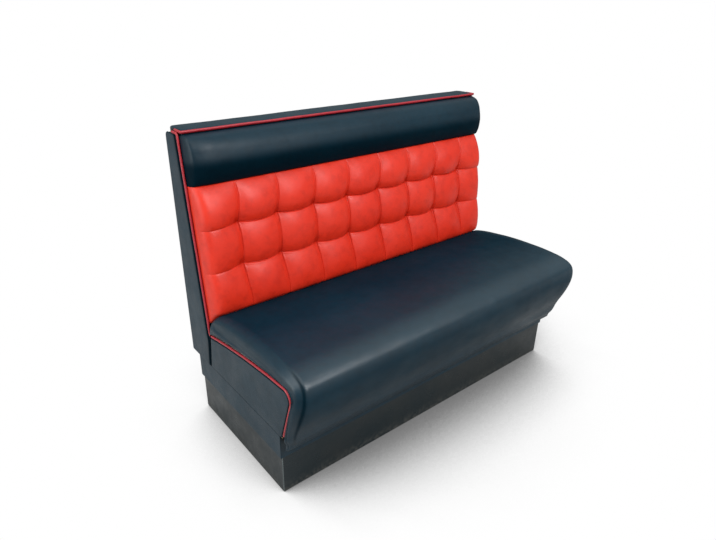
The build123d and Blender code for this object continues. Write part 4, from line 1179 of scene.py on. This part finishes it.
# Pieces of the back
panel = finish_piece(tufted_panel(red), "booth", "vinyl_red", "tufted_cover", "tufted_foam")
finish_piece(twine_ties(MATERIALS["twine"]), "booth", "twine", "tufting_ties")
roll = finish_piece(headroll(dark), "booth", "vinyl_dark", "headroll_cover", "headroll_foam")
cap = finish_piece(top_cap(dark), "booth", "vinyl_dark", "back_top_cap")
for side, name in SIDES:
    cover = side_grid(WRAP_LOW, 953, 6.5, 0.6)
    kinds = "side_wrap_", "side_under_", "back_edge_", "back_side_cover_"
    covered_end(kinds, (side, name), "booth", BACK_BOARD, cover,
                side_grid(BASE_TOP + 0.2, 951, -0.3, -0.3), back_edge_line(),
                bulge=1.2, puff=0.4, seed=50 + side, tone=near_piping(cover))
    path = [(38, LINE_TOP), (LINE_TOP_DEPTH, LINE_TOP), (WAIST_DEPTH, WAIST)]
    path = rounded([(side * BACK_PIPING_X, *place) for place in path], 8)
    behind = np.tile([0.0, -1.0, -0.2], (len(path), 1))
    cord = piping(f"piping_back_{name}", path, BACK_PIPING_RADIUS, behind, 60 + side, welt)
    finish_piece(cord, "booth", "piping_red", f"back_piping_{name}")
reach, height = TOP_PIPING
path = [(-reach, 46, height), (-reach, 90, height), (reach, 90, height), (reach, 46, height)]
path = rounded(path, 4.2)
below = np.tile([0.0, 0.0, -1.0], (len(path), 1))
cord = piping("piping_back_top", path, BACK_PIPING_RADIUS, below, 70, welt)
finish_piece(cord, "booth", "piping_red", "back_piping_top")
grid = rectangle((-REAR_HALF, REAR_HALF), (WRAP_LOW, 949), 16)
rear = plate("rear_wrap", grid, "y", 2.0, 0.2, dark, edge=1.8, puff=0.1, seed=80)
finish_piece(rear, "booth", "vinyl_dark", "back_rear_cover")

# Base
grid = rectangle((-BASE_FACE, BASE_FACE), (BASE_LOW, BASE_HIGH), 14)
front = plate("base_wrap_front", grid, "y", 542.0, 543.8, dark, edge=1.7, puff=0.2, seed=85)
finish_piece(front, "booth", "vinyl_dark", "base_cover_front")
for side, name in SIDES:
    grid = rectangle((BASE_REAR, BASE_FRONT), (BASE_LOW, BASE_HIGH), 14)
    wrap = plate(f"base_wrap_{name}", grid, "x", side * (BASE_FACE - 1.8), side * BASE_FACE, dark,
                 edge=1.7, puff=0.2, seed=88 + side)
    finish_piece(wrap, "booth", "vinyl_dark", "base_cover_ends")
for side, name in SIDES:
    finish_piece(base_turn(f"base_turn_{name}", side, dark), "booth", "vinyl_dark")

# Seat
cushion = finish_piece(seat_cushion(dark), "seat", "vinyl_dark", "seat_cushion_cover", "seat_foam")
for side, name in SIDES:
    kinds = "seat_end_wrap_", "seat_under_", "seat_edge_", "seat_end_cover_"
    covered_end(kinds, (side, name), "seat", SEAT_BOARD, seat_end_grid(2.2), seat_end_grid(-0.3),
                seat_edge_line(), bulge=1.0, puff=0.5, seed=95 + side)
    line = seat_line(0.0, rear=150.0, low=227.0, samples=(90, 24, 40))
    path = even(np.insert(line, 0, side * SEAT_PIPING_X, axis=1), 2.5)
    inside = (0.0, 560.0, 320.0) - path * (0, 1, 1)
    inside[path[:, 1] < 540] = (0, 0, -1)
    cord = piping(f"piping_seat_{name}", path, SEAT_PIPING_RADIUS, inside, 75 + side, welt)
    finish_piece(cord, "seat", "piping_red", f"seat_piping_{name}")

# Camera, as worked out from the photograph
CAMERA_ANGLES = (-39.3454, 25.7753, 0.9463)
CAMERA_PLACE = (-1.2147, -1.2803, 1.3084)
CAMERA_LENS, CAMERA_SENSOR = 28.673, 36.0
yaw, pitch, turn = (math.radians(value) for value in CAMERA_ANGLES)
camera_data = bpy.data.cameras.new("camera")
camera_data.lens = CAMERA_LENS
camera_data.sensor_width = CAMERA_SENSOR
camera_data.sensor_fit = "HORIZONTAL"
camera = placed("camera", camera_data)
aimed = Matrix.Rotation(yaw, 4, "Z") @ Matrix.Rotation(QUARTER - pitch, 4, "X")
turned = aimed @ Matrix.Rotation(turn, 4, "Z")
camera.matrix_world = Matrix.Translation(CAMERA_PLACE) @ turned
bpy.context.scene.camera = camera


# Floor and light

FLOOR_HALF = 30.0
AIM = Vector((0.0, 0.0, 0.5))


def floor():
    """Pale floor that glows for camera rays, with a painted shadow near the booth, and fades to
    white.
    """
    n = Surface("floor")
    n.finish((0.34, 0.32, 0.30, 1), 0.9, n.bump(n.noise(30.0, 3.0), 0.05, 0.001))
    # Painted shadow: an occlusion mask, leaned to the left as if lit from there, darkens the glow
    # near the booth; camera rays and half of glossy rays see the glow.
    lean = n.made("ShaderNodeCombineXYZ", {"X": -0.22, "Y": -0.06, "Z": 0.97}).outputs[0]
    inputs = {"Distance": 0.75, "Normal": lean}
    near = n.made("ShaderNodeAmbientOcclusion", inputs, samples=16, only_local=False)
    shade = n.span(near.outputs["AO"], 0.38, 0.84, 0.16, 1.0)
    plain = n.made("ShaderNodeEmission", {"Strength": shade}).outputs[0]
    rays = n.add("ShaderNodeLightPath").outputs
    seen = n.calc("MAXIMUM", rays["Is Camera Ray"], n.times(rays["Is Glossy Ray"], 0.5))
    n.put(n.out.inputs["Surface"], n.join(seen, n.shader.outputs[0], plain))
    size = FLOOR_HALF
    corners = [(-size, -size, 0), (size, -size, 0), (size, size, 0), (-size, size, 0)]
    mesh = new_mesh("floor", corners, [(0, 1, 2, 3)])
    mesh.materials.append(n.owner)
    ground = placed("floor", mesh)


def world():
    """White behind the booth, a soft pale room in reflections and plain fill light."""
    n = Nodes(bpy.data.worlds.new("room"))
    rays = n.add("ShaderNodeLightPath").outputs
    up = n.axes(n.add("ShaderNodeTexCoord").outputs["Generated"])["Z"]
    slope = n.span(up, 0.0, 1.0, 0.42, 0.98, "LINEAR")
    glow = n.span(up, -0.1, 1.0, 0.06, 0.95, "LINEAR")
    strength = n.made("ShaderNodeMix", {0: rays["Is Glossy Ray"], 2: slope, 3: glow}).outputs[0]
    inputs = {"Color": (0.86, 0.97, 1.0, 1), "Strength": strength}
    fill = n.made("ShaderNodeBackground", inputs).outputs[0]
    inputs = {"Color": (1, 1, 1, 1), "Strength": 1.0}
    white = n.made("ShaderNodeBackground", inputs).outputs[0]
    seen = n.calc("MAXIMUM", rays["Is Camera Ray"], rays["Is Transmission Ray"])
    n.made("ShaderNodeOutputWorld", {"Surface": n.join(seen, fill, white)})
    bpy.context.scene.world = n.owner


floor()
world()

# Soft rectangular lamps that look at the middle of the booth
for name, place, size, power, tint in (
    ("left_low", (-3.4, 0.6, 1.1), (1.6, 1.6), 43, (0.9, 0.98, 1.0)),
    ("left_high", (-2.2, 0.2, 2.8), (1.6, 1.6), 25, (0.94, 0.98, 1.0)),
    ("soft", (0.0, -2.5, 2.6), (1.2, 1.5), 88, (0.96, 0.98, 1.0)),
):
    data = bpy.data.lights.new(name, "AREA")
    data.shape = "RECTANGLE"
    data.size, data.size_y = size
    data.energy, data.color = power, tint
    piece = placed(name, data)
    piece.location = place
    piece.rotation_euler = (AIM - Vector(place)).to_track_quat("-Z", "Y").to_euler()
bpy.context.scene.view_settings.view_transform = "Standard"
